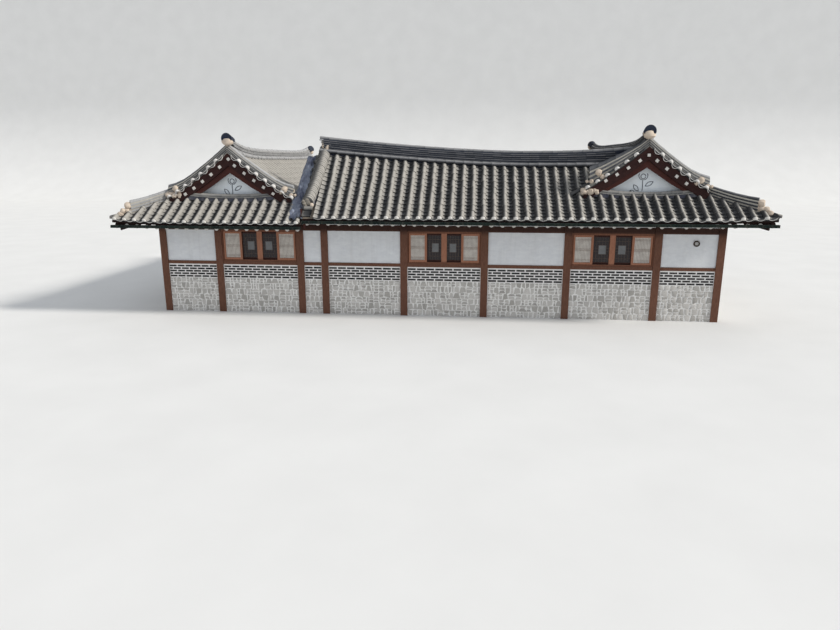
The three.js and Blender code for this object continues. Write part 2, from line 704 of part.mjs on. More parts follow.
// A gutter along a stretch of the front eave
function gutter(from, to) {
  const top = eaveTop(to) - GUTTER.below;
  const bottom = top - GUTTER.height;
  const outside = box([from, to], [-GUTTER.width, -GAP], [bottom, top]);
  const trough = box(
    [from + GUTTER.wall, to - GUTTER.wall],
    [-GUTTER.width + GUTTER.wall, -GAP - GUTTER.wall],
    [bottom + GUTTER.wall, top + 1],
  );
  return outside.subtract(trough);
}

// Round air vent on the white panel beside the window
function wallVent() {
  const { radius, length, rim, cup } = VENT;
  const outline = [
    [0, 0],
    [radius, 0],
    [radius, length],
    [radius - rim, length],
    [radius - rim, length - cup],
    [0, length - cup],
  ];
  const points = outline.map(([r, y]) => new THREE.Vector2(r, y));
  const geometry = new THREE.LatheGeometry(points, 32);
  geometry.rotateX(Math.PI);
  geometry.translate(VENT.x, FRONT_Y - PLASTER[1] - GAP, VENT.z);
  return solid(geometry);
}

// Materials

const finish = (color, roughness, metalness = 0) =>
  new THREE.MeshStandardMaterial({ color, roughness, metalness });
const tile = finish(0x55585a, 0.85);
const ridgeTile = finish(0x44474a, 0.85);
const timber = finish(0x74402a, 0.7);
const board = finish(0x5d2f24, 0.7);
const plaster = finish(0xdcdad2, 0.9);
const brick = finish(0x5a5250, 0.9);
const stone = finish(0xb5aea2, 0.95);
const doorWood = finish(0x9a6238, 0.65);
const floorWood = finish(0x8c6a45, 0.6);
const sheetMetal = finish(0x2e3a34, 0.5, 0.6);
const grille = finish(0xa9abaa, 0.5, 0.4);

// Assembly

const house = new THREE.Group();
house.position.y = (GUTTER.width - HOUSE_DEPTH) / 2;

function add(group, name, s, material) {
  const { numProp, vertProperties, triVerts } = s.getMesh();
  const geometry = new THREE.BufferGeometry();
  geometry.setAttribute("position", new THREE.BufferAttribute(vertProperties, numProp));
  geometry.setIndex(new THREE.BufferAttribute(triVerts, 1));
  geometry.computeVertexNormals();
  const mesh = new THREE.Mesh(geometry, material);
  mesh.name = name;
  group.add(mesh);
}

const roofs = new THREE.Group();
const walls = new THREE.Group();
house.add(roofs, walls);

add(roofs, "main_roof", mainRoof, tile);
add(roofs, "right_wing_roof", rightRoof, tile);
add(roofs, "left_wing_roof", leftRoof, tile);
add(roofs, "main_ridge", mainRidge(), ridgeTile);
add(roofs, "main_verge_ridge", vergeRidge(), ridgeTile);
add(roofs, "main_gable_wall", mainGable, plaster);
add(roofs, "main_bargeboards", mainBarge, board);
add(roofs, "valley_flashing", flashing, sheetMetal);
add(roofs, "front_gutter", gutter(MAIN_VERGE_X, EAVE_X), sheetMetal);
add(roofs, "left_wing_gutter", gutter(-EAVE_X, LEFT_ROOF_SETBACK_X), sheetMetal);

for (const side of [1, -1]) {
  const name = side > 0 ? "right" : "left";
  add(roofs, name + "_wing_ridge", wingRidge(side), ridgeTile);
  add(roofs, name + "_front_ridges", endRidges(side, false), ridgeTile);
  add(roofs, name + "_rear_ridges", endRidges(side, true), ridgeTile);
  add(roofs, name + "_front_gable_wall", gableWall(side, GABLE_WALL), plaster);
  add(roofs, name + "_rear_gable_wall", gableWall(side, mirroredY(GABLE_WALL)), plaster);
  add(roofs, name + "_front_bargeboards", bargeBoards(side, BARGE_BOARD), board);
  add(roofs, name + "_rear_bargeboards", bargeBoards(side, mirroredY(BARGE_BOARD)), board);

  const flank = sideWalls(side);
  add(walls, name + "_timber_frame", flank.frame, timber);
  add(walls, name + "_masonry_wall", flank.masonry, stone);
  add(walls, name + "_plaster_wall", flank.plaster, plaster);
  const rear = rearWalls(side);
  add(walls, name + "_rear_timber_frame", rear.frame, timber);
  add(walls, name + "_rear_masonry_wall", rear.masonry, stone);
  add(walls, name + "_rear_plaster_wall", rear.plaster, plaster);
  const court = courtWalls(side);
  add(walls, name + "_court_timber_frame", court.frame, timber);
  add(walls, name + "_court_stone_base", court.base, stone);
  add(walls, name + "_court_lattice_doors", court.doors, doorWood);
  add(walls, name + "_wing_floor", wingFloor(side), floorWood);
}

add(walls, "front_timber_frame", frontFrame, timber);
add(walls, "front_stone_wall", frontStone, stone);
add(walls, "front_brick_band", frontBrick, brick);
add(walls, "front_plaster_wall", frontPlaster, plaster);
for (const [name, bay] of Object.entries(WINDOW_BAYS)) {
  add(walls, name, windowUnit(bay), doorWood);
}
add(walls, "wall_vent", wallVent(), grille);
add(walls, "main_court_timber_frame", mainCourtFrame, timber);
add(walls, "main_court_stone_base", mainCourtBase, stone);
add(walls, "main_court_left_doors", leftDoors, doorWood);
add(walls, "main_court_right_doors", rightDoors, doorWood);
add(walls, "hall_sliding_doors", slidingDoors(), doorWood);
add(walls, "main_floor", mainFloor, floorWood);

export default house;
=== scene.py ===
"""Looks of a one-storey Korean timber house with tiled roofs, round a rear court.

Metres, +Z up, +X along the front to the right, +Y towards the rear court. Every new piece is
a surface worked out as whole arrays: a shape laid along a roof slope, along a ridge or on a wall.
"""
import json

import bpy
import numpy as np
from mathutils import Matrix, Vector


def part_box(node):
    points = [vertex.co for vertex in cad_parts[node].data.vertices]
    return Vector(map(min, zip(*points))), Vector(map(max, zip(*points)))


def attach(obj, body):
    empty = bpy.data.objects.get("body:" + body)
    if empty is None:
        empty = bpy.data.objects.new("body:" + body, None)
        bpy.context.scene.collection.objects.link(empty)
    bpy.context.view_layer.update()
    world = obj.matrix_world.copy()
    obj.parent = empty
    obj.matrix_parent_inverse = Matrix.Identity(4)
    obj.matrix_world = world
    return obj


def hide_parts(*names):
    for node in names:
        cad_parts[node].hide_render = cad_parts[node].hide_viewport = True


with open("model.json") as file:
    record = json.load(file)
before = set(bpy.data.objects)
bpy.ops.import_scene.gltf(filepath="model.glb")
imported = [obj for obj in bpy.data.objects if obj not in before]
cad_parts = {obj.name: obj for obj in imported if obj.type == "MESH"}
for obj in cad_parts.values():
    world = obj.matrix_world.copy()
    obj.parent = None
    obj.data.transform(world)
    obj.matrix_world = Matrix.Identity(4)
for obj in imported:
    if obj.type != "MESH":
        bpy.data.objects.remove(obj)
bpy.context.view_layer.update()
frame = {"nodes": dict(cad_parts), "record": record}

bl_info = {
    "name": "Tiled timber house",
    "version": (1, 0, 0),
    "blender": (4, 5, 0),
    "location": "View3D > Sidebar > House",
    "description": "Lays the tiles, ridges, masonry, lattices and finishes of a tiled timber house",
    "category": "Object",
}

UP = np.array([0, 0, 1.0])

# Plan of the roofs, from the frame
ROOF_LOW, ROOF_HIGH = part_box("right_wing_roof")
MAIN_LOW, MAIN_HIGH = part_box("main_roof")
FRONT = ROOF_LOW.y                      # front eave line
REAR = ROOF_HIGH.y                      # rear eave line of the wings
EAVE_X = ROOF_HIGH.x                    # outer and court eaves of the right wing
COURT_X = ROOF_LOW.x
SIDES = ((1, "right"), (-1, "left"))
RIDGE_X = (EAVE_X + COURT_X) / 2
WING_HALF = (EAVE_X - COURT_X) / 2
MAIN_HALF = (MAIN_HIGH.y - MAIN_LOW.y) / 2
MAIN_Y = FRONT + MAIN_HALF              # main ridge line
MAIN_VERGE_X = MAIN_LOW.x
MID_Y = (FRONT + REAR) / 2

# Heights of the tile beds
EAVE_Z = 3.0
LEFT_DROP = 0.17                        # the left wing's roof lies this much lower
MAIN_RISE = 1.4
MAIN_HOLLOW = 0.18                      # share of the rise that the hollow curve brings
WING_RISE = 1.78
WING_HOLLOW = 0.4
FRONT_SAG = 0.22                        # how much higher a wing's ridge is at its front end
REAR_SAG = 0.06
CORNER_LIFT = 0.08
LIFT_REACH = 2.6
END_RISE = 0.44
END_RISE_FROM = 2.7
LAYER_AT_EAVE = 0.2
LAYER_GAIN = 0.16

# Hip-and-gable ends
VERGE = 0.85                            # rake line, inside the eave
GABLE_FOOT = 1.17                       # face of the gable wall, inside the eave
GABLE_HALF = {1: 1.73, -1: 1.95}        # ridge line to the foot of the rake
HIP_REGION = 1.15                       # how far the hips reach along the wings
HIP_ROWS = np.array([0.1, 0.4, 0.7])    # round tiles beside the rakes' ends
FOOT_RAISED = {1: 0.03, -1: 0.08}       # how far the row at a gable's foot is raised
FIRST_SQUARE = {(1, False): 0.33, (1, True): 0.33, (-1, False): 0.07, (-1, True): 0.3}
LAST_SQUARE = 0.4                       # none of the painted ends is nearer to the rake's foot
SQUARE_PITCH = 0.28                     # of the painted ends on the boards, from the ridge down
MOTIF_BELOW = 0.77                      # middle of the plant's bloom, below the ridge's bed
SQUARE_RISE = 0.09                      # how much higher the lowest one is beside the main roof
GABLED_FROM = 1.0                       # first row of round tiles that goes up to the ridge
LEFT_ROOF_CUT = (-3.311, -3.7)          # where the left roof ends under, and beside, the main verge
LEFT_ROOF_UNDER = (1.0, 3.3)            # from where to where it runs under it, behind the front eave
LEFT_CUT_TO = 2 * MAIN_HALF + 0.05      # how far back it is cut at all
EDGE_GAP = 0.01                         # regions stop this far inside the roof's outer edges
FIRST_ROW = 0.12                        # first row of tiles or rafter beside the end of a region
LAST_ROW = 0.13                         # last row of tiles beside the outer eave
FREE_CORNER = 0.2                       # no row of the front eave nearer to the corner
RAKE_INSIDE = 0.11                      # middle of a rake, inside the rake line
VALLEY_TOP = 0.55                       # the main roof's valley rows end this far from the ridge
AT_EAVE = 1e-6                          # an inset below this is the eave itself
BESIDE = 1e-3                           # places to either side of a step in the limits

# Tiles
PITCH = 0.302                           # row to row along an eave
ROWS_FROM = 3.921                       # one of the rows of round tiles along the front eave
TROUGH_STEP = 0.165                     # exposed length of a trough tile
ROUND_STEP = 0.29                       # exposed length of a round tile
LAP = 0.02                              # each tile reaches this far under the next
ROUND_FROM = -0.035                     # where the lowest round tile starts, seen from the eave
TROUGH_FROM = -0.045
PLUG_AT = -0.036                        # lime in the ends of the round tiles
LIP_AT = -0.052
RAFTER_PITCH = 0.31
RAFTER_SIZE = 0.13
RAFTER_DROP = 0.03                      # how far the rafters hang below the roof's lower face
RAFTER_FROM = 0.045                     # inset of the rafters' ends
RAFTER_TO = 1.1

# Walls
OUTER_X = 8.32                          # middles of the posts, to either side of the house's middle
INNER_X = 4.0
MIDDLE_X = 6.56
MAIN_POSTS = (-3.25, -0.833, 1.583)
FRONT_POSTS = (-OUTER_X, -MIDDLE_X, -INNER_X, *MAIN_POSTS, INNER_X, MIDDLE_X, OUTER_X)
FRONT_Y = FRONT + 0.95
BACK_Y = FRONT + 3.35
REAR_Y = FRONT + 9.95
COURT_POSTS = (BACK_Y, FRONT + 5.55, FRONT + 7.75, REAR_Y)
POST = 0.21
PROUD = 0.07                            # the mortar faces stand out this far from the posts' middles
STONE_TOP = 1.07                        # front wall, with a band of bricks above the stones
BRICK_BAND = (1.075, 1.475)
SIDE_STONE_TOP = 1.49                   # walls without bricks
BASE_TOP = 0.47                         # stones under the court's doors
RAIL_TOP = 1.6
SILL_TOP = 0.6
LINTEL = 2.56


# Roof heights, each for whole arrays of x and y

MAIN_CURVE = (MAIN_HALF, MAIN_RISE, MAIN_HOLLOW)


def curve(inset, half, rise, hollow):
    """Height of a hollow-curved slope: rise times ((1 - hollow) t + hollow t squared), where t
    is the inset from the eave over half the roof's width."""
    t = inset / half
    return rise * ((1 - hollow) * t + hollow * t * t)


def inset_at(height, half, rise, hollow):
    """The inset at which such a slope reaches a height: the positive root of the same formula."""
    root = np.sqrt((1 - hollow) ** 2 + 4 * hollow * np.maximum(height, 0) / rise)
    return half * (root - 1 + hollow) / (2 * hollow)


def eave_z(x):
    return EAVE_Z - LEFT_DROP * (np.asarray(x) < 0)


def towards_end(y):
    """Share of the way from the middle of a wing to the verge of its nearer end."""
    return np.abs(y - MID_Y) / (MID_Y - FRONT - VERGE)


def towards_left(x):
    """Share of the way that the main roof has climbed towards its left end."""
    return np.maximum(0, (END_RISE_FROM - x) / (END_RISE_FROM - MAIN_VERGE_X))


def corner_lift(x, y):
    """Upturn near the three free corners: falls with the square of the distance."""
    lift = 0.0
    for corner_x, corner_y in ((EAVE_X, FRONT), (EAVE_X, REAR), (COURT_X, REAR)):
        far = np.hypot(np.abs(x) - corner_x, y - corner_y) / LIFT_REACH
        lift = lift + CORNER_LIFT * np.maximum(0, 1 - far) ** 2
    return lift


def wing_rise(y):
    """Eave to ridge of a wing: least at the middle, growing with the fourth power of the way
    towards either end."""
    return WING_RISE + np.where(y < MID_Y, FRONT_SAG, REAR_SAG) * towards_end(y) ** 4


def wing_curve(y):
    return WING_HALF, wing_rise(y), WING_HOLLOW


def wing_bed(x, y):
    inset = WING_HALF - np.abs(np.abs(x) - RIDGE_X)
    return eave_z(x) + curve(inset, *wing_curve(y)) + corner_lift(x, y)


def end_bed(x, y):
    inset = np.minimum(np.minimum(y - FRONT, REAR - y), 4.0)
    return eave_z(x) + curve(inset, *MAIN_CURVE) + corner_lift(x, y)


def main_bed(x, y):
    """The main slopes: the curve, and a climb with the power 1.5 of the way to the left end."""
    inset = MAIN_HALF - np.abs(y - MAIN_Y)
    climb = END_RISE * towards_left(x) ** 1.5 * inset / MAIN_HALF
    return EAVE_Z + curve(inset, *MAIN_CURVE) + climb


def hip_bed(x, y):
    return np.minimum(wing_bed(x, y), end_bed(x, y))


def layer(inset, half):
    """Thickness of tiles, clay, boards and rafters together."""
    return LAYER_AT_EAVE + LAYER_GAIN * inset / half


def tube_faces(rings, sides):
    """Faces of a closed tube whose points are numbered ring by ring: its body and its two caps."""
    index = np.arange(rings * sides).reshape(rings, sides)
    wrap = np.roll(index, -1, axis=1)
    body = np.stack([index[:-1], wrap[:-1], wrap[1:], index[1:]], -1).reshape(-1, 4)
    return [body, np.stack([index[0, ::-1], index[-1]])]


def sheet_faces(rows, columns):
    """Faces of two grids of points, one under the other, and of the strip round their edges."""
    size = rows * columns
    index = np.arange(size).reshape(rows, columns)
    upper = np.stack([index[:-1, :-1], index[1:, :-1], index[1:, 1:], index[:-1, 1:]], -1)
    upper = upper.reshape(-1, 4)
    around = np.concatenate([index[0, :], index[1:, -1], index[-1, -2::-1], index[-2:0:-1, 0]])
    after = np.roll(around, -1)
    return upper, upper[:, ::-1] + size, np.stack([around, after, after + size, around + size], -1)


class Slope:
    """A roof slope. Its eave is a line along X (axis 0) or Y (axis 1), u is the place along that
    line, s the length up the slope from the eave, and h the height square to the bed."""

    def __init__(self, axis, eave, inward, shape, bed):
        self.axis, self.eave, self.inward, self.half, self.bed = axis, eave, inward, shape[0], bed
        self.levels = np.linspace(-0.3, self.half + 0.1, 120)
        heights = curve(self.levels, *shape)
        steps = np.hypot(np.diff(self.levels), np.diff(heights))
        lengths = np.concatenate(([0], np.cumsum(steps)))
        self.lengths = lengths - np.interp(0, self.levels, lengths)
        self.flip = (inward if axis == 0 else -inward) < 0

    def level(self, s):
        return np.interp(s, self.lengths, self.levels)

    def length(self, level):
        return np.interp(level, self.levels, self.lengths)

    def plan(self, u, d):
        across = self.eave + self.inward * d
        return (u, across) if self.axis == 0 else (across, u)

    def place(self, u, s, h):
        """Point at u, s, h: the bed's point moved by h along the slope's normal, (-rise, 1)
        over the root of one plus rise squared."""
        d = self.level(s)
        step = 0.01
        rise = (self.bed(*self.plan(u, d + step)) - self.bed(*self.plan(u, d - step))) / (2 * step)
        tilt = 1 / np.sqrt(1 + rise ** 2)
        z = self.bed(*self.plan(u, d)) + h * tilt
        x, y = self.plan(u, d - h * rise * tilt)
        return np.stack(np.broadcast_arrays(x, y, z), -1)

    def under(self, u, d, drop):
        """Point a drop straight below the bed, at the level inset d."""
        x, y = self.plan(u, d)
        return np.stack(np.broadcast_arrays(x, y, self.bed(x, y) - drop), -1)


class Path:
    """A line in space. u is to its right, s the length along it and h straight up; heights are
    stretched by the factor at each place."""
    flip = False

    def __init__(self, points, stretch=None):
        self.points = np.asarray(points, float)
        steps = np.linalg.norm(np.diff(self.points, axis=0), axis=1)
        self.lengths = np.concatenate(([0], np.cumsum(steps)))
        self.total = self.lengths[-1]
        self.stretch = np.ones(len(self.points)) if stretch is None else np.asarray(stretch)
        tangent = np.gradient(self.points, self.lengths, axis=0)
        right = np.stack([tangent[:, 1], -tangent[:, 0], 0 * tangent[:, 0]], -1)
        self.right = right / np.linalg.norm(right, axis=1)[:, None]

    def place(self, u, s, h):
        """Point of the line at s, plus u times its right-hand direction, plus h straight up. Past
        its ends the line runs straight on."""
        u, s, h = np.broadcast_arrays(u, s, h)
        base, right = (np.stack([np.interp(s, self.lengths, axis) for axis in v.T], -1)
                       for v in (self.points, self.right))
        beyond = s - np.clip(s, 0, self.total)
        ahead = np.where(beyond[..., None] > 0, self.points[-1] - self.points[-2],
                         self.points[1] - self.points[0])
        ahead = ahead / np.linalg.norm(ahead, axis=-1)[..., None]
        rise = (h * np.interp(s, self.lengths, self.stretch))[..., None]
        return base + ahead * beyond[..., None] + right * u[..., None] + UP * rise


class Shape:
    """A small solid to be laid many times: its points' u, s and h, a crown value for each point,
    and its faces as arrays of point numbers that look outwards where u, s, h are right-handed."""

    def __init__(self, u, s, h, faces, crown=None):
        self.u, self.s, self.h = (np.asarray(v, float) for v in (u, s, h))
        self.faces = [np.asarray(f, int).reshape(-1, np.shape(f)[-1]) for f in faces]
        self.crown = np.zeros(len(self.u)) if crown is None else np.asarray(crown, float)

    def turned(self, sign):
        """The same solid lying across: its length goes along u, towards the sign."""
        faces = self.faces if sign < 0 else [f[:, ::-1] for f in self.faces]
        return Shape(sign * self.s, self.u, self.h, faces, self.crown)


def round_tile(front, back, length, segments=8, reach=100, base=0.03):
    """Half a tapered tube: u = r sin a, h = base + r cos a, for a from -reach to reach degrees,
    with r going from front to back along s, closed by its two ends and a flat bottom."""
    angle = np.radians(np.linspace(-reach, reach, segments + 1))
    u = np.concatenate([r * np.sin(angle) for r in (front, back)])
    h = np.concatenate([base + r * np.cos(angle) for r in (front, back)])
    s = np.repeat([0.0, length], segments + 1)
    # Crown: cos a at the front, lowered at the back end under the next tile; the tile paints turn it
    # into a painted highlight on top and painted shade on the sides and the back end.
    crown = np.concatenate([np.cos(angle), np.cos(angle) - 0.35])
    return Shape(u, s, h, tube_faces(2, segments + 1), crown)


ARC_SEGMENTS = 6                        # of the arcs of the trough tiles and lime lips


def trough_tile(half, dip, length, lip, base=0.008, bottom=-0.012):
    """A sagging tile: h = base + dip times (u over half) squared, its front raised by the lip,
    closed by its ends, its sides and a flat bottom."""
    a = np.linspace(-1, 1, ARC_SEGMENTS + 1)
    arc = base + dip * a ** 2
    u = np.tile([*(a * half), half, -half], 2)
    h = np.concatenate([arc + lip, [bottom] * 2, arc, [bottom] * 2])
    s = np.repeat([0.0, length], len(a) + 2)
    # Crown: high on the front lip, which gets a painted highlight, and low in the hollow and at the back
    # end under the next tile, which get painted shade.
    crown = np.concatenate([0.7 * a ** 2 + 0.2, [-0.6] * 2, 0.5 * a ** 2 - 1, [-1] * 2])
    return Shape(u, s, h, tube_faces(2, len(a) + 2), crown)


def block_shape(width, length, low, high, chamfer=0.0):
    """A bar with a rectangular section, its corners at plus and minus half the width, and its
    upper long edges cut off where there is a chamfer."""
    w = width / 2
    u, h = [-w, -w, w, w], [low, high, high, low]
    if chamfer:
        u = [-w, -w, -w + chamfer, w - chamfer, w, w]
        h = [low, high - chamfer, high, high, high - chamfer, low]
    s = np.repeat([0.0, length], len(u))
    return Shape(np.tile(u, 2), s, np.tile(h, 2), tube_faces(2, len(u)))


def lip_shape(half, dip, depth, thick, base):
    """A thin hanging arc: h = base + dip times (u over half) squared, with a given thickness
    below it and a depth along s: rings of four points carried along u."""
    a = np.linspace(-1, 1, ARC_SEGMENTS + 1)[:, None]
    u, s, h = np.broadcast_arrays(a * half, [depth, 0, 0, depth],
                                  base + dip * a ** 2 - [0, 0, thick, thick])
    return Shape(u.ravel(), s.ravel(), h.ravel(), tube_faces(len(a), 4))


def plug_shape(radius, bulge, base):
    """A domed half-disc: point at ring k lies at radius times sin b and bulges by cos b along
    minus s, with b from 0 at the middle to a right angle at the rim."""
    rings, segments, reach, depth = 3, 8, 104, 0.03
    angle = np.radians(np.linspace(-reach, reach, segments + 1))
    turn = np.radians(np.linspace(20, 90, rings))
    r = radius * np.sin(turn)[:, None]
    u = (r * np.sin(angle)).ravel()
    h = (base + r * np.cos(angle)).ravel()
    s = np.repeat(-bulge * np.cos(turn), segments + 1)
    back_u, back_h = radius * np.sin(angle), base + radius * np.cos(angle)
    u = np.concatenate([u, back_u, [0.0]])
    h = np.concatenate([h, back_h, [base]])
    s = np.concatenate([s, 0 * angle + depth, [-bulge]])
    m = segments + 1
    i = np.arange(segments)
    quads = [np.stack([i + k * m, i + k * m + 1, i + (k + 1) * m + 1, i + (k + 1) * m], -1)
             for k in range(rings)]
    middle = np.stack([np.full(segments, (rings + 1) * m), i + 1, i], -1)
    back = [[*range(rings * m, (rings + 1) * m)]]
    left = [rings * m, *[k * m for k in range(rings - 1, -1, -1)], (rings + 1) * m]
    right = [(rings + 1) * m, *[k * m + segments for k in range(rings + 1)]]
    bottom = [(left + right[1:])[::-1]]
    return Shape(u, s, h, [np.vstack(quads), middle, back, bottom])


class Work:
    """Gathers solids and makes them one mesh object at the origin."""

    def __init__(self):
        self.points, self.crowns, self.blocks = [], [], []
        self.count = 0

    def add(self, points, faces, tone=0.5, crown=0.0, slot=0, flip=False):
        """Adds points (n, 3) and faces, a list of arrays of point numbers. The tone is one for
        them all, or one for each of the equal solids that they make up."""
        points = np.asarray(points, float).reshape(-1, 3)
        self.points.append(points)
        self.crowns.append(np.broadcast_to(crown, len(points)))
        for block in faces:
            block = np.asarray(block, int)
            block = block.reshape(-1, block.shape[-1])
            if flip:
                block = block[:, ::-1]
            tones = np.repeat(tone, len(block) // np.size(tone))
            self.blocks.append((block + self.count, tones, slot))
        self.count += len(points)

    def cover(self, size, faces, tone=0.5, slot=0, flip=False):
        """Adds faces of another material on the points that were added last."""
        faces = faces[:, ::-1] if flip else faces
        self.blocks.append((faces + self.count - size, np.full(len(faces), tone), slot))

    def lay(self, place, shape, u, s, h=0.0, tone=0.5, slot=0, limits=None, jitter=None,
            size=(1.0, 1.0, 1.0)):
        """Lays a shape at each u, s, h of a slope, path or wall, stretched to each size. Limits
        give the lowest and highest s at any u; what reaches past them is drawn back to them."""
        u, s, h, *size = (np.atleast_1d(np.asarray(v, float)) for v in (u, s, h, *size))
        u, s, h, *size = np.broadcast_arrays(u, s, h, *size)
        number = len(u)
        if number == 0:
            return
        us = u[:, None] + shape.u * size[0][:, None]
        ss = s[:, None] + shape.s * size[1][:, None]
        hs = h[:, None] + shape.h * size[2][:, None]
        if jitter is not None:
            hs = hs + jitter[:, None] * (shape.s - shape.s.mean())
        if limits is not None:
            low, high = limits(us)
            ss = np.clip(ss, low, np.maximum(high, low))
        shift = (np.arange(number) * len(shape.u))[:, None, None]
        self.add(place.place(us, ss, hs), [f[None] + shift for f in shape.faces],
                 np.broadcast_to(tone, number), np.tile(shape.crown, number), slot, place.flip)

    def make(self, name, materials, finish, sharp=35, replaces=()):
        """The mesh object, with its tone for each face and crown for each point, riding on the
        house. Faces without area are left out."""
        name = name.lower().replace(" ", "_")
        points = np.concatenate(self.points)
        kept = []
        for block, tones, slot in self.blocks:
            corners = points[block]
            later = np.roll(corners, -1, axis=1)
            area = np.linalg.norm(np.cross(corners, later).sum(axis=1), axis=1) / 2
            good = area > 1e-9
            if good.any():
                kept.append((block[good], tones[good], slot))
        used = np.unique(np.concatenate([b.ravel() for b, _, _ in kept]))
        number = np.zeros(len(points), int)
        number[used] = np.arange(len(used))
        sizes = np.concatenate([np.full(len(b), b.shape[1]) for b, _, _ in kept])
        mesh = bpy.data.meshes.new(name)
        mesh.vertices.add(len(used))
        mesh.vertices.foreach_set("co", points[used].astype(np.float32).ravel())
        mesh.loops.add(int(sizes.sum()))
        corners = np.concatenate([number[b].ravel() for b, _, _ in kept])
        mesh.loops.foreach_set("vertex_index", corners.astype(np.int32))
        mesh.polygons.add(len(sizes))
        starts = np.concatenate(([0], np.cumsum(sizes)[:-1]))
        mesh.polygons.foreach_set("loop_start", starts.astype(np.int32))
        slots = np.concatenate([np.full(len(b), k) for b, _, k in kept])
        mesh.polygons.foreach_set("material_index", slots.astype(np.int32))
        mesh.update(calc_edges=True)
        for label, domain, values in (("tone", "FACE", np.concatenate([t for _, t, _ in kept])),
                                      ("crown", "POINT", np.concatenate(self.crowns)[used])):
            data = mesh.attributes.new(label, "FLOAT", domain).data
            data.foreach_set("value", values.astype(np.float32))
        mesh.polygons.foreach_set("use_smooth", np.ones(len(sizes), bool))
        mesh.set_sharp_from_angle(angle=np.radians(sharp))
        mesh.validate()
        for material in materials:
            mesh.materials.append(material)
        piece = bpy.data.objects.new(name, mesh)
        bpy.context.scene.collection.objects.link(piece)
        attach(piece, "root")
        if replaces:
            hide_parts(*replaces)
        return piece


def random(name, number=None, low=0.0, high=1.0):
    """Even random numbers that are the same on every run, from a seed that the name gives."""
    seed = sum((i + 1) * ord(c) for i, c in enumerate(name))
    return np.random.default_rng(seed).uniform(low, high, number)


def spaced(start, end, pitch):
    """Evenly spaced places from start to end, with a pitch as near as can be to the given one."""
    count = max(1, int(round((end - start) / pitch)))
    return np.linspace(start, end, count + 1)


# Roof regions: a slope, a stretch of its eave, its rows of tiles and its lowest and highest inset

class Region:
    """Part of a slope. With square, the limits are those at the middle of each row, so that a
    step in them doesn't bend the tiles."""

    def __init__(self, slope, stretch, rounds, troughs, limits, square=False, tiled=None):
        self.slope, self.stretch, self.limits, self.square = slope, stretch, limits, square
        self.tiled = tiled or limits
        self.rounds, self.troughs = np.asarray(rounds, float), np.asarray(troughs, float)

    def lengths(self, u):
        """Lowest and highest length up the slope, a little beyond the eave where it has one."""
        low, high = self.tiled(u)
        return self.slope.length(low) - np.where(low < AT_EAVE, 0.1, 0), self.slope.length(high)

    def at_eave(self, places, least):
        low, high = self.limits(places)
        return places[(low < AT_EAVE) & (high > least)]


def plan_y(y):
    return np.minimum(y - FRONT, REAR - y)


def middles(rows):
    return (rows[1:] + rows[:-1]) / 2


def hip_across(y):
    """Inset from a wing's side eave at which its slope meets the end slope."""
    return inset_at(curve(plan_y(y), *MAIN_CURVE), *wing_curve(y))


def hip_depth(x, rear=False):
    """Inset from the end eave at which the end slope meets the wing's slope, in three turns; or
    from the main block's rear eave."""
    across = WING_HALF - np.abs(np.abs(x) - RIDGE_X)
    depth = 0.8 * across
    for _ in range(3):
        y = FRONT + 2 * MAIN_HALF - depth if rear else FRONT + depth
        depth = inset_at(curve(across, *wing_curve(y)), *MAIN_CURVE)
    return depth


def end_limits(x):
    return 0 * x, np.minimum(GABLE_FOOT, hip_depth(x))


def end_tile_limits(x):
    """The same, but the tiles stop under the row at the foot of the gable."""
    return 0 * x, np.minimum(GABLE_FOOT - 0.1, hip_depth(x))


def main_limits(x):
    return 0 * x, 0 * x + MAIN_HALF


def main_valley_limits(x, rear=False):
    low = np.where(x < COURT_X, 0, hip_depth(np.maximum(x, COURT_X), rear))
    return np.minimum(low, MAIN_HALF), 0 * x + MAIN_HALF


def rear_valley_limits(x):
    return main_valley_limits(x, True)


def hip_limits(y):
    return 0 * y, hip_across(y)


def ridge_limits(y):
    return 0 * y, 0 * y + WING_HALF


def valley_limits(y):
    """The right wing's inner slope begins where it rises out of the main block's roof."""
    inside = np.maximum(MAIN_HALF - np.abs(y - MAIN_Y), 0)
    return inset_at(curve(inside, *MAIN_CURVE), *wing_curve(y)), 0 * y + WING_HALF


def cut_limits(y):
    """The left wing's inner slope begins beside the main verge, or under it."""
    from_eave = y - FRONT
    under = (from_eave > LEFT_ROOF_UNDER[0] - AT_EAVE) & (from_eave < LEFT_ROOF_UNDER[1])
    cut = np.where(under, -LEFT_ROOF_CUT[0], -LEFT_ROOF_CUT[1]) - COURT_X
    return np.where(from_eave < LEFT_CUT_TO, cut, 0), 0 * y + WING_HALF


def above_rake(side, limits):
    """The same limits, but from the foot of the rake."""
    foot = WING_HALF - GABLE_HALF[side]

    def raised(y):
        low, high = limits(y)
        return np.maximum(low, foot), high
    return raised


def corner_cut_limits(y):
    return 0 * y - LEFT_ROOF_CUT[1] - COURT_X, hip_across(y)


def wing_slope(side, inner):
    eave = side * (COURT_X if inner else EAVE_X)
    shape = (WING_HALF, WING_RISE, WING_HOLLOW)
    return Slope(1, eave, side if inner else -side, shape, wing_bed)


def end_slope(rear):
    return Slope(0, REAR if rear else FRONT, -1 if rear else 1, MAIN_CURVE, end_bed)


def main_slope(rear):
    eave = MAIN_HIGH.y if rear else FRONT
    return Slope(0, eave, -1 if rear else 1, MAIN_CURVE, main_bed)


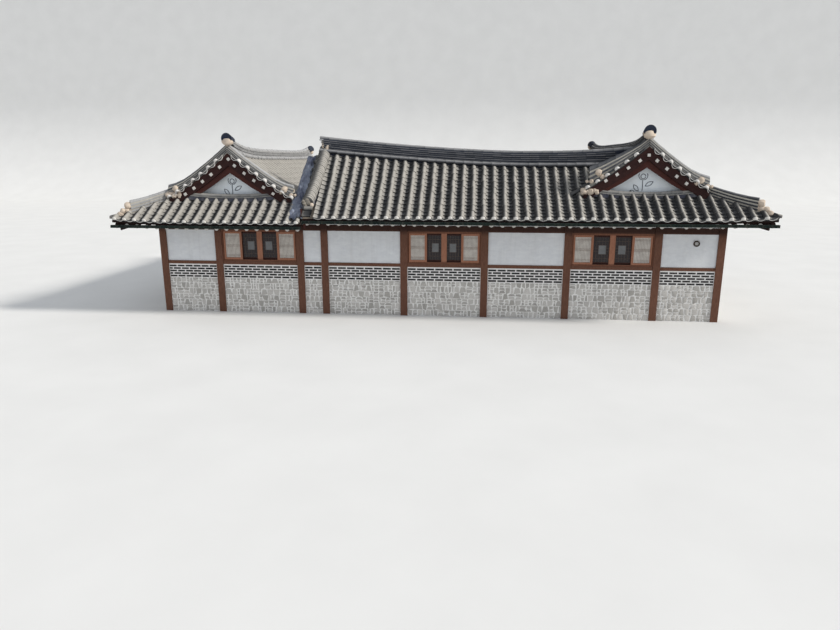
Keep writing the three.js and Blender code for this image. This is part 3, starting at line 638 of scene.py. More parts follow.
def wing_regions(side):
    """The regions of one wing's roof: corners, gabled slopes, strips behind the rakes, skirts."""
    rows = spaced(FRONT + GABLED_FROM, REAR - GABLED_FROM, PITCH)
    corner = HIP_ROWS + np.array([PITCH / 2])
    front_corner = (FRONT + EDGE_GAP, FRONT + HIP_REGION)
    rear_corner = (REAR - HIP_REGION, REAR - EDGE_GAP)
    front_strip = (FRONT + VERGE, FRONT + HIP_REGION)
    rear_strip = (REAR - HIP_REGION, REAR - VERGE)
    between = (FRONT + HIP_REGION, REAR - HIP_REGION)
    outer, inner = wing_slope(side, False), wing_slope(side, True)
    inner_limits = valley_limits if side > 0 else cut_limits
    regions = [
        Region(outer, front_corner, FRONT + HIP_ROWS, FRONT + corner, hip_limits),
        Region(outer, rear_corner, REAR - HIP_ROWS, REAR - corner, hip_limits),
        Region(inner, rear_corner, REAR - HIP_ROWS, REAR - corner, hip_limits),
        Region(outer, between, rows, middles(rows), ridge_limits),
        Region(inner, between, rows, middles(rows), inner_limits, square=side < 0),
    ]
    for slope, limits in ((outer, ridge_limits), (inner, inner_limits)):
        for stretch in (front_strip, rear_strip):
            regions.append(Region(slope, stretch, [], [], above_rake(side, limits)))
    if side < 0:
        regions.append(Region(inner, front_corner, [], [], corner_cut_limits))
    for rear in (False, True):
        end = RIDGE_X - GABLE_HALF[1] if side > 0 else -LEFT_ROOF_CUT[1]
        end = COURT_X + EDGE_GAP if rear else end
        stretch = np.sort([side * end, side * (EAVE_X - EDGE_GAP)])
        rows = spaced(*np.sort([side * (end + FIRST_ROW), side * (EAVE_X - LAST_ROW)]), PITCH)
        if side > 0 and not rear:
            rows = front_rows(end, EAVE_X - FREE_CORNER)
        troughs = np.append(middles(rows), rows[-1] + PITCH / 2) if side > 0 else middles(rows)
        regions.append(Region(end_slope(rear), stretch, rows, troughs, end_limits,
                              tiled=end_tile_limits))
    return regions


def front_rows(start, end):
    """The rows of round tiles along the front eave between two places."""
    rows = ROWS_FROM + PITCH * np.arange(-30, 30)
    return rows[(rows > start) & (rows < end)]


def main_regions():
    foot = RIDGE_X - GABLE_HALF[1]
    top = RIDGE_X - VALLEY_TOP
    rows = front_rows(MAIN_VERGE_X + 0.5, foot)
    beyond = rows[-1] + PITCH * np.arange(1, 5)
    troughs = np.concatenate([rows[:1] - PITCH / 2, rows + PITCH / 2])
    rear = np.concatenate([rows, beyond])
    rear_troughs = np.concatenate([rows[:1] - PITCH / 2, middles(rear)])
    return [
        Region(main_slope(False), (MAIN_VERGE_X, foot), rows, troughs, main_limits),
        Region(main_slope(False), (foot, top), beyond, middles(beyond), main_valley_limits),
        Region(main_slope(True), (MAIN_VERGE_X, top), rear, rear_troughs, rear_valley_limits),
    ]


ROUND = round_tile(0.08, 0.07, ROUND_STEP + LAP, base=0.07)
TROUGH = trough_tile(0.138, 0.055, TROUGH_STEP + LAP, 0.03, base=0.035, bottom=0.0)
PLUG = plug_shape(0.068, 0.045, base=0.075)
LIP = lip_shape(0.115, 0.055, 0.03, 0.022, base=0.028)


def lay_tiles(work, region, name):
    """Rows of round tiles and of trough tiles. Each tile starts one step further up the slope
    than the last, from just beyond the eave, and is drawn back to the region's limits."""
    slope = region.slope
    for shape, places, step, start in ((ROUND, region.rounds, ROUND_STEP, ROUND_FROM),
                                       (TROUGH, region.troughs, TROUGH_STEP, TROUGH_FROM)):
        if len(places) == 0:
            continue
        number = int(slope.length(slope.half) / step) + 2
        s = start + step * np.arange(number)
        u, s = (v.ravel() for v in np.meshgrid(places, s, indexing="ij"))
        low, high = region.lengths(u)
        kept = (s < high - 0.02) & (s + step > low)
        u, s, low, high = u[kept], s[kept], low[kept, None], high[kept, None]
        limits = (lambda us: (low, high)) if region.square else region.lengths
        wobble = random(f"{name}{places[0]:.2f}{step}", (3, len(u)))
        work.lay(slope, shape, u + 0.018 * (wobble[0] - 0.5), s, tone=wobble[1],
                 limits=limits, jitter=0.06 * (wobble[2] - 0.5))


def lay_deck(work, region):
    """The bed under the tiles: a grid over the region, its top just under the bed, and its bottom
    on the roof's lower face, or at the rafters' backs outside the walls."""
    slope, (start, end) = region.slope, region.stretch
    us = np.concatenate([spaced(start, end, 0.3), [start + BESIDE, end - BESIDE]])
    if slope.axis == 1:
        steps = FRONT + np.array([*LEFT_ROOF_UNDER, LEFT_CUT_TO])
        us = np.concatenate([us, steps - BESIDE, steps + BESIDE])
    us = np.unique(us[(us >= start) & (us <= end)])
    low, high = region.limits(us)
    high = np.maximum(high, low + BESIDE)
    d = low[:, None] + (high - low)[:, None] * np.linspace(0, 1, 17)
    u = np.broadcast_to(us[:, None], d.shape)
    above_rafters = RAFTER_SIZE * np.clip((1.0 - d) / 0.15, 0, 1)
    above_rafters = np.where(low[:, None] < AT_EAVE, above_rafters, 0)
    top = slope.under(u, d, 0.004)
    bottom = slope.under(u, d, layer(d, slope.half) - above_rafters)
    upper, lower, edge = sheet_faces(*d.shape)
    points = np.concatenate([top.reshape(-1, 3), bottom.reshape(-1, 3)])
    tiled = len(region.rounds) > 0
    work.add(points, [upper], slot=1, flip=slope.flip)
    # Tiled regions take eave plaster below and beam on the edges. The undersides and edges of the
    # overhangs behind the rakes take slot 4, the wood in painted shade.
    work.cover(len(points), lower, slot=2 if tiled else 4, flip=slope.flip)
    work.cover(len(points), edge, slot=3 if tiled else 4, flip=slope.flip)


def lay_eave(work, region):
    """Lime plugs in the round tiles' ends and thin lime lips under the trough tiles' ends."""
    rounds = region.at_eave(region.rounds, 0.05)
    work.lay(region.slope, PLUG, rounds, PLUG_AT, tone=random("plug", len(rounds)))
    troughs = region.at_eave(region.troughs, 0.02)
    work.lay(region.slope, LIP, troughs, LIP_AT, tone=random("lip", len(troughs)))


def lay_rafters(work, region):
    """Round rafters under the bed: a ring of ten sides carried up the slope, hanging a little
    below the lower face of the roof, with a painted end."""
    slope, (start, end) = region.slope, region.stretch
    places = region.at_eave(spaced(start + FIRST_ROW, end - FIRST_ROW, RAFTER_PITCH), FIRST_ROW)
    if len(places) == 0:
        return
    sides, rings = 10, 4
    angle = np.linspace(0, 2 * np.pi, sides, endpoint=False)
    last = np.minimum(RAFTER_TO, region.limits(places)[1])
    d = RAFTER_FROM + (last - RAFTER_FROM)[:, None] * np.linspace(0, 1, rings)
    d = np.broadcast_to(d[..., None], (len(places), rings, sides))
    u = places[:, None, None] + 0.5 * RAFTER_SIZE * np.sin(angle) + 0 * d
    drop = layer(d, slope.half) - 0.5 * RAFTER_SIZE * (1 + np.cos(angle)) + RAFTER_DROP
    points = slope.under(u, d, drop).reshape(-1, 3)
    index = np.arange(len(places) * rings * sides).reshape(len(places), rings, sides)
    wrap = np.roll(index, -1, axis=2)
    body = np.stack([index[:, :-1], wrap[:, :-1], wrap[:, 1:], index[:, 1:]], -1).reshape(-1, 4)
    work.add(points, [body, index[:, -1]], slot=0, flip=slope.flip)
    work.cover(len(points), index[:, 0, ::-1], slot=1, flip=slope.flip)


# Ridges

CAP_LENGTH, SLAB_LENGTH = 0.3, 0.28
OVERLAP = 0.01                          # of the round tiles


def lay_course(work, path, shape, length, u, h, name, slot=0, gap=0.004, trim=(0.0, 0.0)):
    """Lays equal pieces end to end along a path, each a little out of line."""
    number = max(1, int(round((path.total - sum(trim)) / length)))
    step = (path.total - sum(trim)) / number
    s = trim[0] + step * np.arange(number)
    scaled = Shape(shape.u, shape.s * (step - gap) / length, shape.h, shape.faces, shape.crown)
    wobble = random(name, (3, number))
    work.lay(path, scaled, u + 0.012 * (wobble[0] - 0.5), s, h + 0.004 * (wobble[1] - 0.5),
             tone=wobble[2], slot=slot)


def lay_ridge(work, path, width, height, layers, name, cap=0.085, rounds=True, base=0.14,
              trim=(0.0, 0.0), core_slot=1, slant=0.0):
    """A ridge of flat tiles: a core, thin slabs that stand out from it, a row of half-round
    tiles on top, and where asked a round course along each foot. Slanted, the start of each
    course lies further in than that of the course above."""
    top = height - cap * 0.75
    core = block_shape(width - 0.035, CAP_LENGTH, -0.12, top)
    lay_course(work, path, core, CAP_LENGTH, 0, 0, name + "core", slot=core_slot, gap=0,
               trim=(trim[0] + 0.6 * slant, trim[1]))
    pitch = (top - base) / layers
    for k in range(layers):
        low = base + k * pitch
        proud = 0.014 * ((layers - k) / layers) + 0.014 * (k % 2)
        wide = width - 0.02 + 2 * proud
        slab = block_shape(wide, SLAB_LENGTH, low, low + pitch * 0.55, 0.006)
        shorter = slant * (layers - 1 - k) / layers
        lay_course(work, path, slab, SLAB_LENGTH, 0, 0, name + str(k),
                   trim=(trim[0] + shorter, trim[1]))
    tile = round_tile(cap, cap * 0.92, CAP_LENGTH + OVERLAP, reach=98, base=top - 0.005)
    lay_course(work, path, tile, CAP_LENGTH, 0, 0, name + "cap", gap=-OVERLAP, trim=trim)
    if rounds:
        for side in (-1, 1):
            foot = round_tile(0.06, 0.054, SLAB_LENGTH + OVERLAP, reach=170, base=base - 0.06)
            lay_course(work, path, foot, SLAB_LENGTH, side * (width / 2 + 0.012), 0,
                       name + "foot" + str(side), gap=-OVERLAP, trim=trim)


def lump(work, centre, radii, name, slot, rough):
    """A lump of plaster: an ellipsoid whose radius varies by a sum of three slow waves."""
    across, around = 9, 14
    a = np.linspace(0, np.pi, across)[1:-1, None]
    b = np.linspace(0, 2 * np.pi, around, endpoint=False)[None]
    phase = random(name, 6, 0, 2 * np.pi)
    wave = (np.sin(2 * a + 3 * b + phase[0]) + np.sin(3 * a - 2 * b + phase[1])
            + np.sin(4 * a + b + phase[2])) / 3
    r = 1 + rough * wave * np.sin(a)
    x = r * np.sin(a) * np.cos(b)
    y = r * np.sin(a) * np.sin(b)
    z = r * np.cos(a) + 0 * b
    points = np.stack([x, y, z], -1).reshape(-1, 3)
    points = np.vstack([points, [[0, 0, 1], [0, 0, -1]]]) * np.asarray(radii) + np.asarray(centre)
    rows = across - 2
    index = np.arange(rows * around).reshape(rows, around)
    wrap = np.roll(index, -1, axis=1)
    quads = np.stack([index[:-1], index[1:], wrap[1:], wrap[:-1]], -1).reshape(-1, 4)
    north = np.stack([np.full(around, rows * around), index[0], wrap[0]], -1)
    south = np.stack([np.full(around, rows * around + 1), wrap[-1], index[-1]], -1)
    work.add(points, [quads, north, south], slot=slot)


def line(start, end, number=24):
    return np.linspace(start, end, number)


# Paths of the ridges, and the heights of the ridges over the bed

MAIN_RIDGE_HEIGHT = 0.49
MAIN_RIDGE_END = RIDGE_X - 0.13         # where it meets the right wing's ridge
RIGHT_RISE_FROM = 3.2
WING_RIDGE_HEIGHT = 0.37
RAKE_HEIGHT = 0.3
HIP_HEIGHT = 0.33
WING_END = {1: (-0.045, 0.17), -1: (0.05, 0.16)}        # the end caps' shift along X, and size
HIPS = ((False, (True,)), (True, (True, False)))        # of each end, rear or not: sides with a hip

# Lumps of plaster at a ridge's end: ahead of it, over the bed, size
MAIN_LUMPS = ((-0.18, 0.24, (0.07, 0.12, 0.17)), (-0.32, 0.16, (0.1, 0.16, 0.1)))
HIP_LUMPS = ((-0.16, 0.27, 0.11), (-0.13, 0.12, 0.10), (0.0, 0.16, 0.085), (0.1, 0.1, 0.075),
             (-0.22, 0.1, 0.09), (0.05, 0.07, 0.07))
RAKE_LUMPS = ((-0.25, 0.228, 0.095), (-0.36, 0.17, 0.068), (-0.06, 0.107, 0.065), (0.06, 0.105, 0.045))


def main_ridge_path():
    """The main ridge: its height over the bed grows with the square of the way to both ends."""
    x = line(MAIN_VERGE_X, MAIN_RIDGE_END, 30)
    right = np.maximum(0, x - RIGHT_RISE_FROM) / (MAIN_RIDGE_END - RIGHT_RISE_FROM)
    bed = main_bed(x, MAIN_Y + 0 * x)
    height = MAIN_RIDGE_HEIGHT + 0.02 * towards_left(x) ** 2 + 0.12 * right ** 2
    return Path(np.stack([x, MAIN_Y + 0 * x, bed], -1), stretch=height / MAIN_RIDGE_HEIGHT)


def wing_ridge_path(side):
    """A wing's ridge: its extra height grows with the sixth power of the way to either end."""
    y = line(FRONT + VERGE - 0.07, REAR - VERGE + 0.07, 40)
    x = np.full(len(y), side * RIDGE_X)
    height = WING_RIDGE_HEIGHT + 0.16 * towards_end(y) ** 6
    return Path(np.stack([x, y, wing_bed(x, y)], -1), stretch=height / WING_RIDGE_HEIGHT)


def rake_path(side, outward, rear):
    """A rake, from the foot of the gable up to the ridge, parallel to the verge. Its lower end
    is lifted; the one beside the main roof is built up evenly towards its foot."""
    foot = WING_HALF - GABLE_HALF[side]
    built_up = side > 0 and not outward
    d = line(foot + (0.14 if built_up else 0.01), WING_HALF - 0.005)
    x = side * (EAVE_X - d if outward else COURT_X + d)
    y = np.full(len(x), REAR - VERGE - RAKE_INSIDE if rear else FRONT + VERGE + RAKE_INSIDE)
    stretch = 1 + 0.4 * np.clip(1 - (d - foot) / 0.55, 0, 1) ** 1.5
    if built_up:
        stretch = 1 + 0.72 * np.maximum(0, WING_HALF - 0.25 - d)
    return Path(np.stack([x, y, wing_bed(x, y)], -1), stretch=stretch)


def hip_path(side, outward, rear):
    """A hip, from the rake's foot down to the corner, with its end lifted."""
    across = line(0.26, WING_HALF - GABLE_HALF[side] + 0.15)
    inwards = line(0.21, HIP_REGION)
    x = side * (EAVE_X - across if outward else COURT_X + across)
    y = REAR - inwards if rear else FRONT + inwards
    near = np.maximum(0, 1 - np.hypot(across, inwards) / 1.6)
    return Path(np.stack([x, y, hip_bed(x, y)], -1), stretch=1 + 0.45 * near ** 2)


def facing_of(rear):
    return 1 if rear else -1


def lay_rake(work, side, outward, rear, slabs, name):
    """The courses of a rake, and the plaster at its foot."""
    path = rake_path(side, outward, rear)
    lay_ridge(work, path, 0.2, RAKE_HEIGHT, slabs, name, cap=0.07, rounds=False, base=0.05,
              core_slot=4)
    away = side if outward else -side
    for k, (ahead, up, size) in enumerate(RAKE_LUMPS):
        centre = path.points[0] + (away * ahead, facing_of(rear) * 0.1, up * path.stretch[0])
        lump(work, centre, size, name + str(k), slot=2, rough=0.2)


def lay_hip(work, side, outward, rear, slabs, name):
    """The courses of a hip, and the plaster round its lower end."""
    path = hip_path(side, outward, rear)
    lay_ridge(work, path, 0.2, HIP_HEIGHT, slabs, name, cap=0.075, rounds=False, base=0.05,
              trim=(0.22, 0), core_slot=4)
    ahead_of = path.points[0] - path.points[1]
    ahead_of = ahead_of / np.linalg.norm(ahead_of)
    for k, (ahead, up, size) in enumerate(HIP_LUMPS):
        lump(work, path.points[0] + ahead_of * ahead + UP * up, size, name + str(k), slot=2,
             rough=0.25)


def sweep(work, path, u, h, slot):
    """A closed profile, given clockwise in u and h, carried along a path and closed at both ends.
    u and h may have a row of their own for each point of the path."""
    s = path.lengths[:, None]
    points = path.place(u, s, h)
    work.add(points.reshape(-1, 3), tube_faces(*points.shape[:2]), slot=slot)


def arch(half, low, high):
    """Section of a rounded bank, clockwise: u = half cos a, h = low + (high - low) sin a, each
    raised to two over a squareness, with a from 180 degrees down to 0."""
    number, squareness = 14, 2.6
    a = np.linspace(np.pi, 0, number)
    power = 2 / squareness
    u = half * np.sign(np.cos(a)) * np.abs(np.cos(a)) ** power
    h = low + (high - low) * np.abs(np.sin(a)) ** power
    return u, h


def tube(work, points, radius):
    """A round bar along points that lie in an upright plane across Y."""
    tangent = np.gradient(points, axis=0)
    tangent /= np.linalg.norm(tangent, axis=1)[:, None]
    right = np.cross(tangent, (0, 1.0, 0))
    right /= np.linalg.norm(right, axis=1)[:, None]
    above = np.cross(right, tangent)
    sides = 6
    angle = np.linspace(0, 2 * np.pi, sides, endpoint=False)
    ring = right[:, None] * np.sin(angle)[:, None] + above[:, None] * np.cos(angle)[:, None]
    grid = points[:, None] + radius * ring
    work.add(grid.reshape(-1, 3), tube_faces(len(points), sides))


def ridge_end(work, top, facing, name, cap):
    """The end of a ridge: a dark round cap tile whose crown is at top, and in its mouth a ball of
    lime plaster that looks outwards. The cap narrows and sinks towards the ridge behind it."""
    length, ball_below = 0.42, 0.255
    facing = np.array([0, facing, 0])
    radii = (cap + 0.005, 0.13, cap * 0.72)
    lump(work, top + facing * 0.03 - UP * ball_below, radii, name, slot=2, rough=0.2)
    path = Path(np.stack([top + facing * 0.1, top - facing * (length - 0.1)]))
    cover = round_tile(cap, cap * 0.62, length, segments=14, reach=112, base=-cap)
    cover.h[len(cover.h) // 2:] -= cap * 0.3
    work.lay(path, cover, 0, 0, tone=0.0, slot=3)


def lay_verge(tiles, plaster, boards, slope, low, high, edge, inward, squares=None, rise=0.0,
              lips=True, board=2):
    """The edge of a gabled slope: short round and trough tiles that lie across it with lime in their
    ends, a board below them whose upper band is in the look of the first slot, painted shade, and whose
    lower band is in the look of the slot given as board, the last one unless told, and painted square
    ends on it at these distances from the ridge, the lowest one higher by the rise. Lips are thin arcs
    of lime under the trough tiles. Edge is the place of the board's face along u, and inward the
    direction of u that leads under the roof."""
    start, end = float(slope.length(low)) + 0.02, float(slope.length(high)) - 0.02
    limits = (lambda us: (start, end))
    last, first = end - 0.38, start + 0.05
    s = np.arange(last, first, -PITCH)[::-1]
    front = edge - inward * 0.03
    short = round_tile(0.07, 0.065, 0.26).turned(inward)
    tiles.lay(slope, short, front, s, tone=random("verge", len(s)), limits=limits)
    plug = plug_shape(0.07, 0.055, base=0.035).turned(inward)
    plaster.lay(slope, plug, front, s, limits=limits)
    between = np.concatenate([[s[0] - PITCH / 2], middles(s), [s[-1] + PITCH / 2]])
    sag = trough_tile(0.138, 0.03, 0.26, 0.0).turned(inward)
    tiles.lay(slope, sag, front - inward * 0.006, between, tone=0.4, limits=limits)
    for base, dip in ((0.02, 0.02), (-0.04, 0.075)) if lips else ():
        arc = lip_shape(0.11, dip, 0.03, 0.012, base=base).turned(inward)
        plaster.lay(slope, arc, front - inward * 0.02, between, limits=limits)
    d = np.linspace(low, high - 1e-4, 14)[:, None]
    # Upper band of board, next to the tiles, in painted shade (slot 0); lower band in the slot given as
    # board.
    for top, bottom, back, slot in ((0.03, 0.12, 0.0, 0), (0.12, 0.30, 0.02, board)):
        u = edge + inward * (back + np.array([0, 0, 0.05, 0.05]))
        points = slope.under(u + 0 * d, d, np.array([bottom, top, top, bottom]) + 0 * d)
        boards.add(points, tube_faces(len(d), 4), slot=slot, flip=slope.flip != (inward < 0))
    if squares is not None:
        block = block_shape(0.082, 0.08, -0.195, -0.113).turned(inward)
        raised = np.linspace(0, rise, len(squares))
        boards.lay(slope, block, edge - inward * 0.015, slope.length(high - squares), raised,
                   slot=1, tone=random("square", len(squares)))


def gable_face(rear):
    return REAR - GABLE_FOOT if rear else FRONT + GABLE_FOOT


def lay_foot(work, side, rear):
    """The row at the foot of a gable: a bank that rises to both ends with the square of the way,
    a course of round tiles and a slab on it, plaster at its ends and a heap of it at the left."""
    half, facing, middle = GABLE_HALF[side], facing_of(rear), side * RIDGE_X
    start, y = middle - half, gable_face(rear)
    x = line(start + 0.12, middle + half - 0.12)
    row = np.full(len(x), y + facing * 0.17)
    raised = 0.15 * ((x - middle) / half) ** 2 - 0.02 + FOOT_RAISED[side]
    path = Path(np.stack([x, row, end_bed(x, row) + raised], -1))
    sweep(work, path, *arch(0.11, -0.08, 0.1), slot=2)
    tile = round_tile(0.07, 0.064, CAP_LENGTH + OVERLAP, base=0.08)
    lay_course(work, path, tile, CAP_LENGTH, 0.02, 0, f"foot{side}{rear}", gap=-OVERLAP, slot=3)
    slab = block_shape(0.1, SLAB_LENGTH, 0.03, 0.06, 0.004)
    lay_course(work, path, slab, SLAB_LENGTH, 0.08, 0, f"step{side}{rear}", slot=3)
    for k, shift in ((0, 0.0), (0, 0.17), (-1, 0.0), (-1, -0.15)):
        lump(work, path.points[k] + (shift, 0, 0.1 - abs(shift) / 3), (0.13, 0.11, 0.10),
             f"foot{side}{rear}{k}{shift}", slot=1, rough=0.25)
    for k, size in enumerate((0.12, 0.11, 0.12, 0.1, 0.1)):
        at = (start + 0.02 + 0.085 * k, y + facing * 0.26)
        centre = (*at, float(end_bed(*at)) + 0.22 + 0.03 * (k % 2))
        lump(work, centre, (size, size, size * 0.9), f"heap{side}{rear}{k}", slot=1, rough=0.3)


# Walls

class Wall:
    """A vertical face: u runs along it, s up and h outwards from the line of the posts."""

    def __init__(self, axis, at, outward):
        self.axis, self.at, self.outward = axis, at, outward
        self.flip = (outward if axis == 0 else -outward) > 0

    def place(self, u, s, h):
        across = self.at + self.outward * h
        x, y = (u, across) if self.axis == 0 else (across, u)
        return np.stack(np.broadcast_arrays(x, y, s), -1)


WALLS = {
    "front": Wall(0, FRONT_Y, -1),
    "court": Wall(0, BACK_Y, 1),
    "rear": Wall(0, REAR_Y, 1),
    "right": Wall(1, OUTER_X, 1),
    "left": Wall(1, -OUTER_X, -1),
    "right court": Wall(1, INNER_X, -1),
    "left court": Wall(1, -INNER_X, 1),
}


def bar(work, wall, u, s, h, slot=0):
    """A straight bar on a wall between two places in each of u, s and h."""
    shape = block_shape(1, 1, 0, 1)
    width, length, height = (abs(b - a) for a, b in (u, s, h))
    work.lay(wall, shape, (u[0] + u[1]) / 2, min(s), min(h), slot=slot,
             size=(width, length, height))


def bevelled(chamfer, lean=0.0, tilt=0.0):
    """A unit block for stones and bricks, standing out along h: a square of side one, upright to
    two thirds of its height and then drawn in on all four sides. Leaning, u grows with s; tilted,
    s grows with u."""
    corners = np.array([[-0.5, 0], [0.5, 0], [0.5, 1], [-0.5, 1]])
    inner = corners + np.array([[1, 1], [-1, 1], [-1, -1], [1, -1]]) * chamfer
    u = np.concatenate([corners[:, 0], corners[:, 0], inner[:, 0]])
    s = np.concatenate([corners[:, 1], corners[:, 1], inner[:, 1]])
    u, s = u * (1 - lean * (s - 0.5)), s + tilt * u * (1 - s)
    h = np.repeat([0, 0.6, 1.0], 4)
    i = np.arange(4)
    j = (i + 1) % 4
    sides = np.concatenate([np.stack([i, j, j + 4, i + 4], -1) + k for k in (0, 4)])
    return Shape(u, s, h, [np.vstack([sides, [[8, 9, 10, 11]], [[3, 2, 1, 0]]])])


def stretches(start, end, posts):
    """The stretches of a wall that its posts leave free."""
    half = POST / 2
    edges = sorted(p for p in posts if start - half < p < end + half)
    marks = [start] + [e for p in edges for e in (p - half, p + half)] + [end]
    pairs = zip(marks[::2], marks[1::2])
    return [(a, b) for a, b in pairs if b - a > 0.03]


STONE_COURSE, STONE_WIDTH = 0.18, 0.135     # means; the courses and stones vary about them
BRICK_COURSE, BRICK_WIDTH = 0.08, 0.26
BRICK_JOINT = 0.029
STONES = [bevelled(0.14, lean, tilt) for lean, tilt in (
    (0.5, 0.2), (-0.5, -0.2), (0.25, -0.35), (-0.2, 0.3), (0.7, -0.1))]


def lay_bricks(work, wall, start, end, low, high, face, name):
    """Courses of bricks in running bond: joints of every other course shifted by half a brick."""
    rows = int(round((high - low) / BRICK_COURSE))
    number = max(1, int(round((end - start) / BRICK_WIDTH)))
    pitch, step = (high - low) / rows, (end - start) / number
    for row in range(rows):
        edges = start + step * (np.arange(number + 1) + 0.5 * (row % 2))
        edges = np.clip(np.concatenate([[start], edges]), start, end)
        edges = np.unique(np.round(edges, 5))
        width = np.diff(edges)
        kept = width > 0.06
        width, left = width[kept], edges[:-1][kept]
        wobble = random(f"{name}{row}{start:.1f}", (3, len(width)))
        work.lay(wall, bevelled(0.05), left + width / 2, low + row * pitch + 0.013, face,
                 tone=wobble[0], size=(width - 0.036 - 0.008 * wobble[1],
                                       pitch - BRICK_JOINT - 0.004 * wobble[2], 0.009))


def lay_stones(work, wall, start, end, low, high, face, name):
    """Courses of rough stones in broad white joints: each course has its own height, each stone
    its own width, half of them are two low ones, and no side is quite square."""
    rows = max(1, int(round((high - low) / STONE_COURSE)))
    heights = 1 + 0.25 * (random(name + "rows", rows) - 0.5)
    levels = low + np.concatenate([[0], np.cumsum(heights)]) * (high - low) / heights.sum()
    number = max(1, int(round((end - start) / STONE_WIDTH)))
    for row in range(rows):
        widths = 1 + 1.1 * (random(f"{name}{row}{start:.1f}", number) - 0.4)
        edges = start + np.concatenate([[0], np.cumsum(widths)]) * (end - start) / widths.sum()
        width, height = np.diff(edges), levels[row + 1] - levels[row]
        wobble = random(f"{name}stone{row}{start:.1f}", (6, number))
        split = np.where(wobble[4] < 0.5, 0.4 + 0.25 * wobble[5], 1.0)
        for upper in (0, 1):
            bottom = levels[row] + height * split * upper + 0.01
            tall = height * (1 - split if upper else split) - 0.022
            turn = (wobble[3] * 97 + upper * 2).astype(int) % len(STONES)
            for k, shape in enumerate(STONES):
                here = (tall > 0.02) & (turn == k)
                work.lay(wall, shape, (edges[:-1] + width / 2)[here], bottom[here], face,
                         tone=((wobble[0] + 0.37 * upper) % 1)[here],
                         limits=lambda us: (low + 0.004, high),
                         size=((width - 0.026 - 0.018 * wobble[2])[here], tall[here],
                               (0.008 + 0.010 * wobble[1])[here]))


def lattice(work, wall, u, s, h, uprights, rails, thick=0.009, proud=0.012, slot=0):
    """Bars over a pane: uprights at even spacing, and rails at the given shares of its height."""
    if uprights:
        at = np.linspace(u[0], u[1], uprights + 2)[1:-1]
        work.lay(wall, block_shape(thick, 1, 0, proud), at, s[0], h, slot=slot,
                 size=(1, s[1] - s[0], 1))
    if len(rails):
        at = s[0] + (s[1] - s[0]) * np.asarray(rails)
        work.lay(wall, block_shape(1, thick, 0, proud * 0.9), (u[0] + u[1]) / 2, at - thick / 2, h,
                 slot=slot, size=(u[1] - u[0], 1, 1))


def bands(*groups):
    """Shares of a height for groups of close rails, each given as middle, number and pitch."""
    return np.concatenate([m + (np.arange(n) - (n - 1) / 2) * p for m, n, p in groups])


def pane(work, wall, u, s, h, slot):
    bar(work, wall, u, s, (h - 0.004, h + 0.002), slot=slot)


def paper_sash(work, wall, u, s, depth):
    """Paper behind fine uprights crossed by three bands of rails."""
    pane(work, wall, u, s, depth, 1)
    rails = bands((0.1, 2, 0.04), (0.5, 3, 0.04), (0.9, 2, 0.04))
    lattice(work, wall, u, s, depth, 10, rails, thick=0.005, proud=0.008, slot=6)


def glass_sash(work, wall, u, s, depth):
    """A dark pane with a pale field in its middle, two rings of bars round the field, and bars
    from it to the sides."""
    # The pane's dark colour is painted shade of the room behind the glass.
    pane(work, wall, u, s, depth, 2)
    inset_u, inset_s = 0.28 * (u[1] - u[0]), 0.32 * (s[1] - s[0])
    core_u = (u[0] + inset_u, u[1] - inset_u)
    core_s = (s[0] + inset_s, s[1] - inset_s)
    bar(work, wall, core_u, core_s, (depth - 0.003, depth + 0.006), slot=4)
    half = 0.006
    for share in (0.5, 1.0):
        ring_u = (u[0] + share * inset_u, u[1] - share * inset_u)
        ring_s = (s[0] + share * inset_s, s[1] - share * inset_s)
        for edge in ring_u:
            bar(work, wall, (edge - half, edge + half), ring_s, (depth, depth + 0.012), slot=5)
        for edge in ring_s:
            bar(work, wall, ring_u, (edge - half, edge + half), (depth, depth + 0.011), slot=5)
    for side_s in ((s[0], core_s[0]), (core_s[1], s[1])):
        lattice(work, wall, u, side_s, depth, 5, (0.5,), slot=5)
    for side_u in ((u[0], core_u[0]), (core_u[1], u[1])):
        lattice(work, wall, side_u, core_s, depth, 0, (0.33, 0.67), slot=5)


# Of each kind of sash: the pane's inset, the face's place, half the frame's width, how far the
# frame stands out, and its slot
PAPER = (paper_sash, 0.054, 0.04, 0.034, 0.02, 0)
GLASS = (glass_sash, 0.03, 0.005, 0.02, 0.004, 3)


def window(work, bay):
    """Four sashes laid on the sunk panes of the solid, paper in the outer two and dark glass in
    the inner two, each with a frame, and the middle post."""
    wall = WALLS["front"]
    start, end = bay[0] + POST / 2, bay[1] - POST / 2
    width = (end - start - 0.1) / 4
    s = (RAIL_TOP + 0.11, LINTEL - 0.11)
    for i, (sash, inset, face, half, proud, slot) in enumerate((PAPER, GLASS, GLASS, PAPER)):
        left = start + 0.05 + i * width
        u = (left + inset, left + width - inset)
        h = (face - 0.004, face + proud)
        sash(work, wall, u, s, face - 0.01)
        for edge in (u[0] - half, u[1] + half):
            bar(work, wall, (edge - half, edge + half), (s[0] - 0.07, s[1] + 0.07), h, slot=slot)
        for edge in (s[0] - 0.035, s[1] + 0.035):
            bar(work, wall, u, (edge - 0.034, edge + 0.034), h, slot=slot)
    middle = (start + end) / 2
    bar(work, wall, (middle - 0.08, middle + 0.08), (RAIL_TOP + 0.05, LINTEL - 0.05), (0.0, 0.036))


DOOR_RAILS = bands((0.08, 3, 0.022), (0.5, 5, 0.022), (0.92, 3, 0.022))


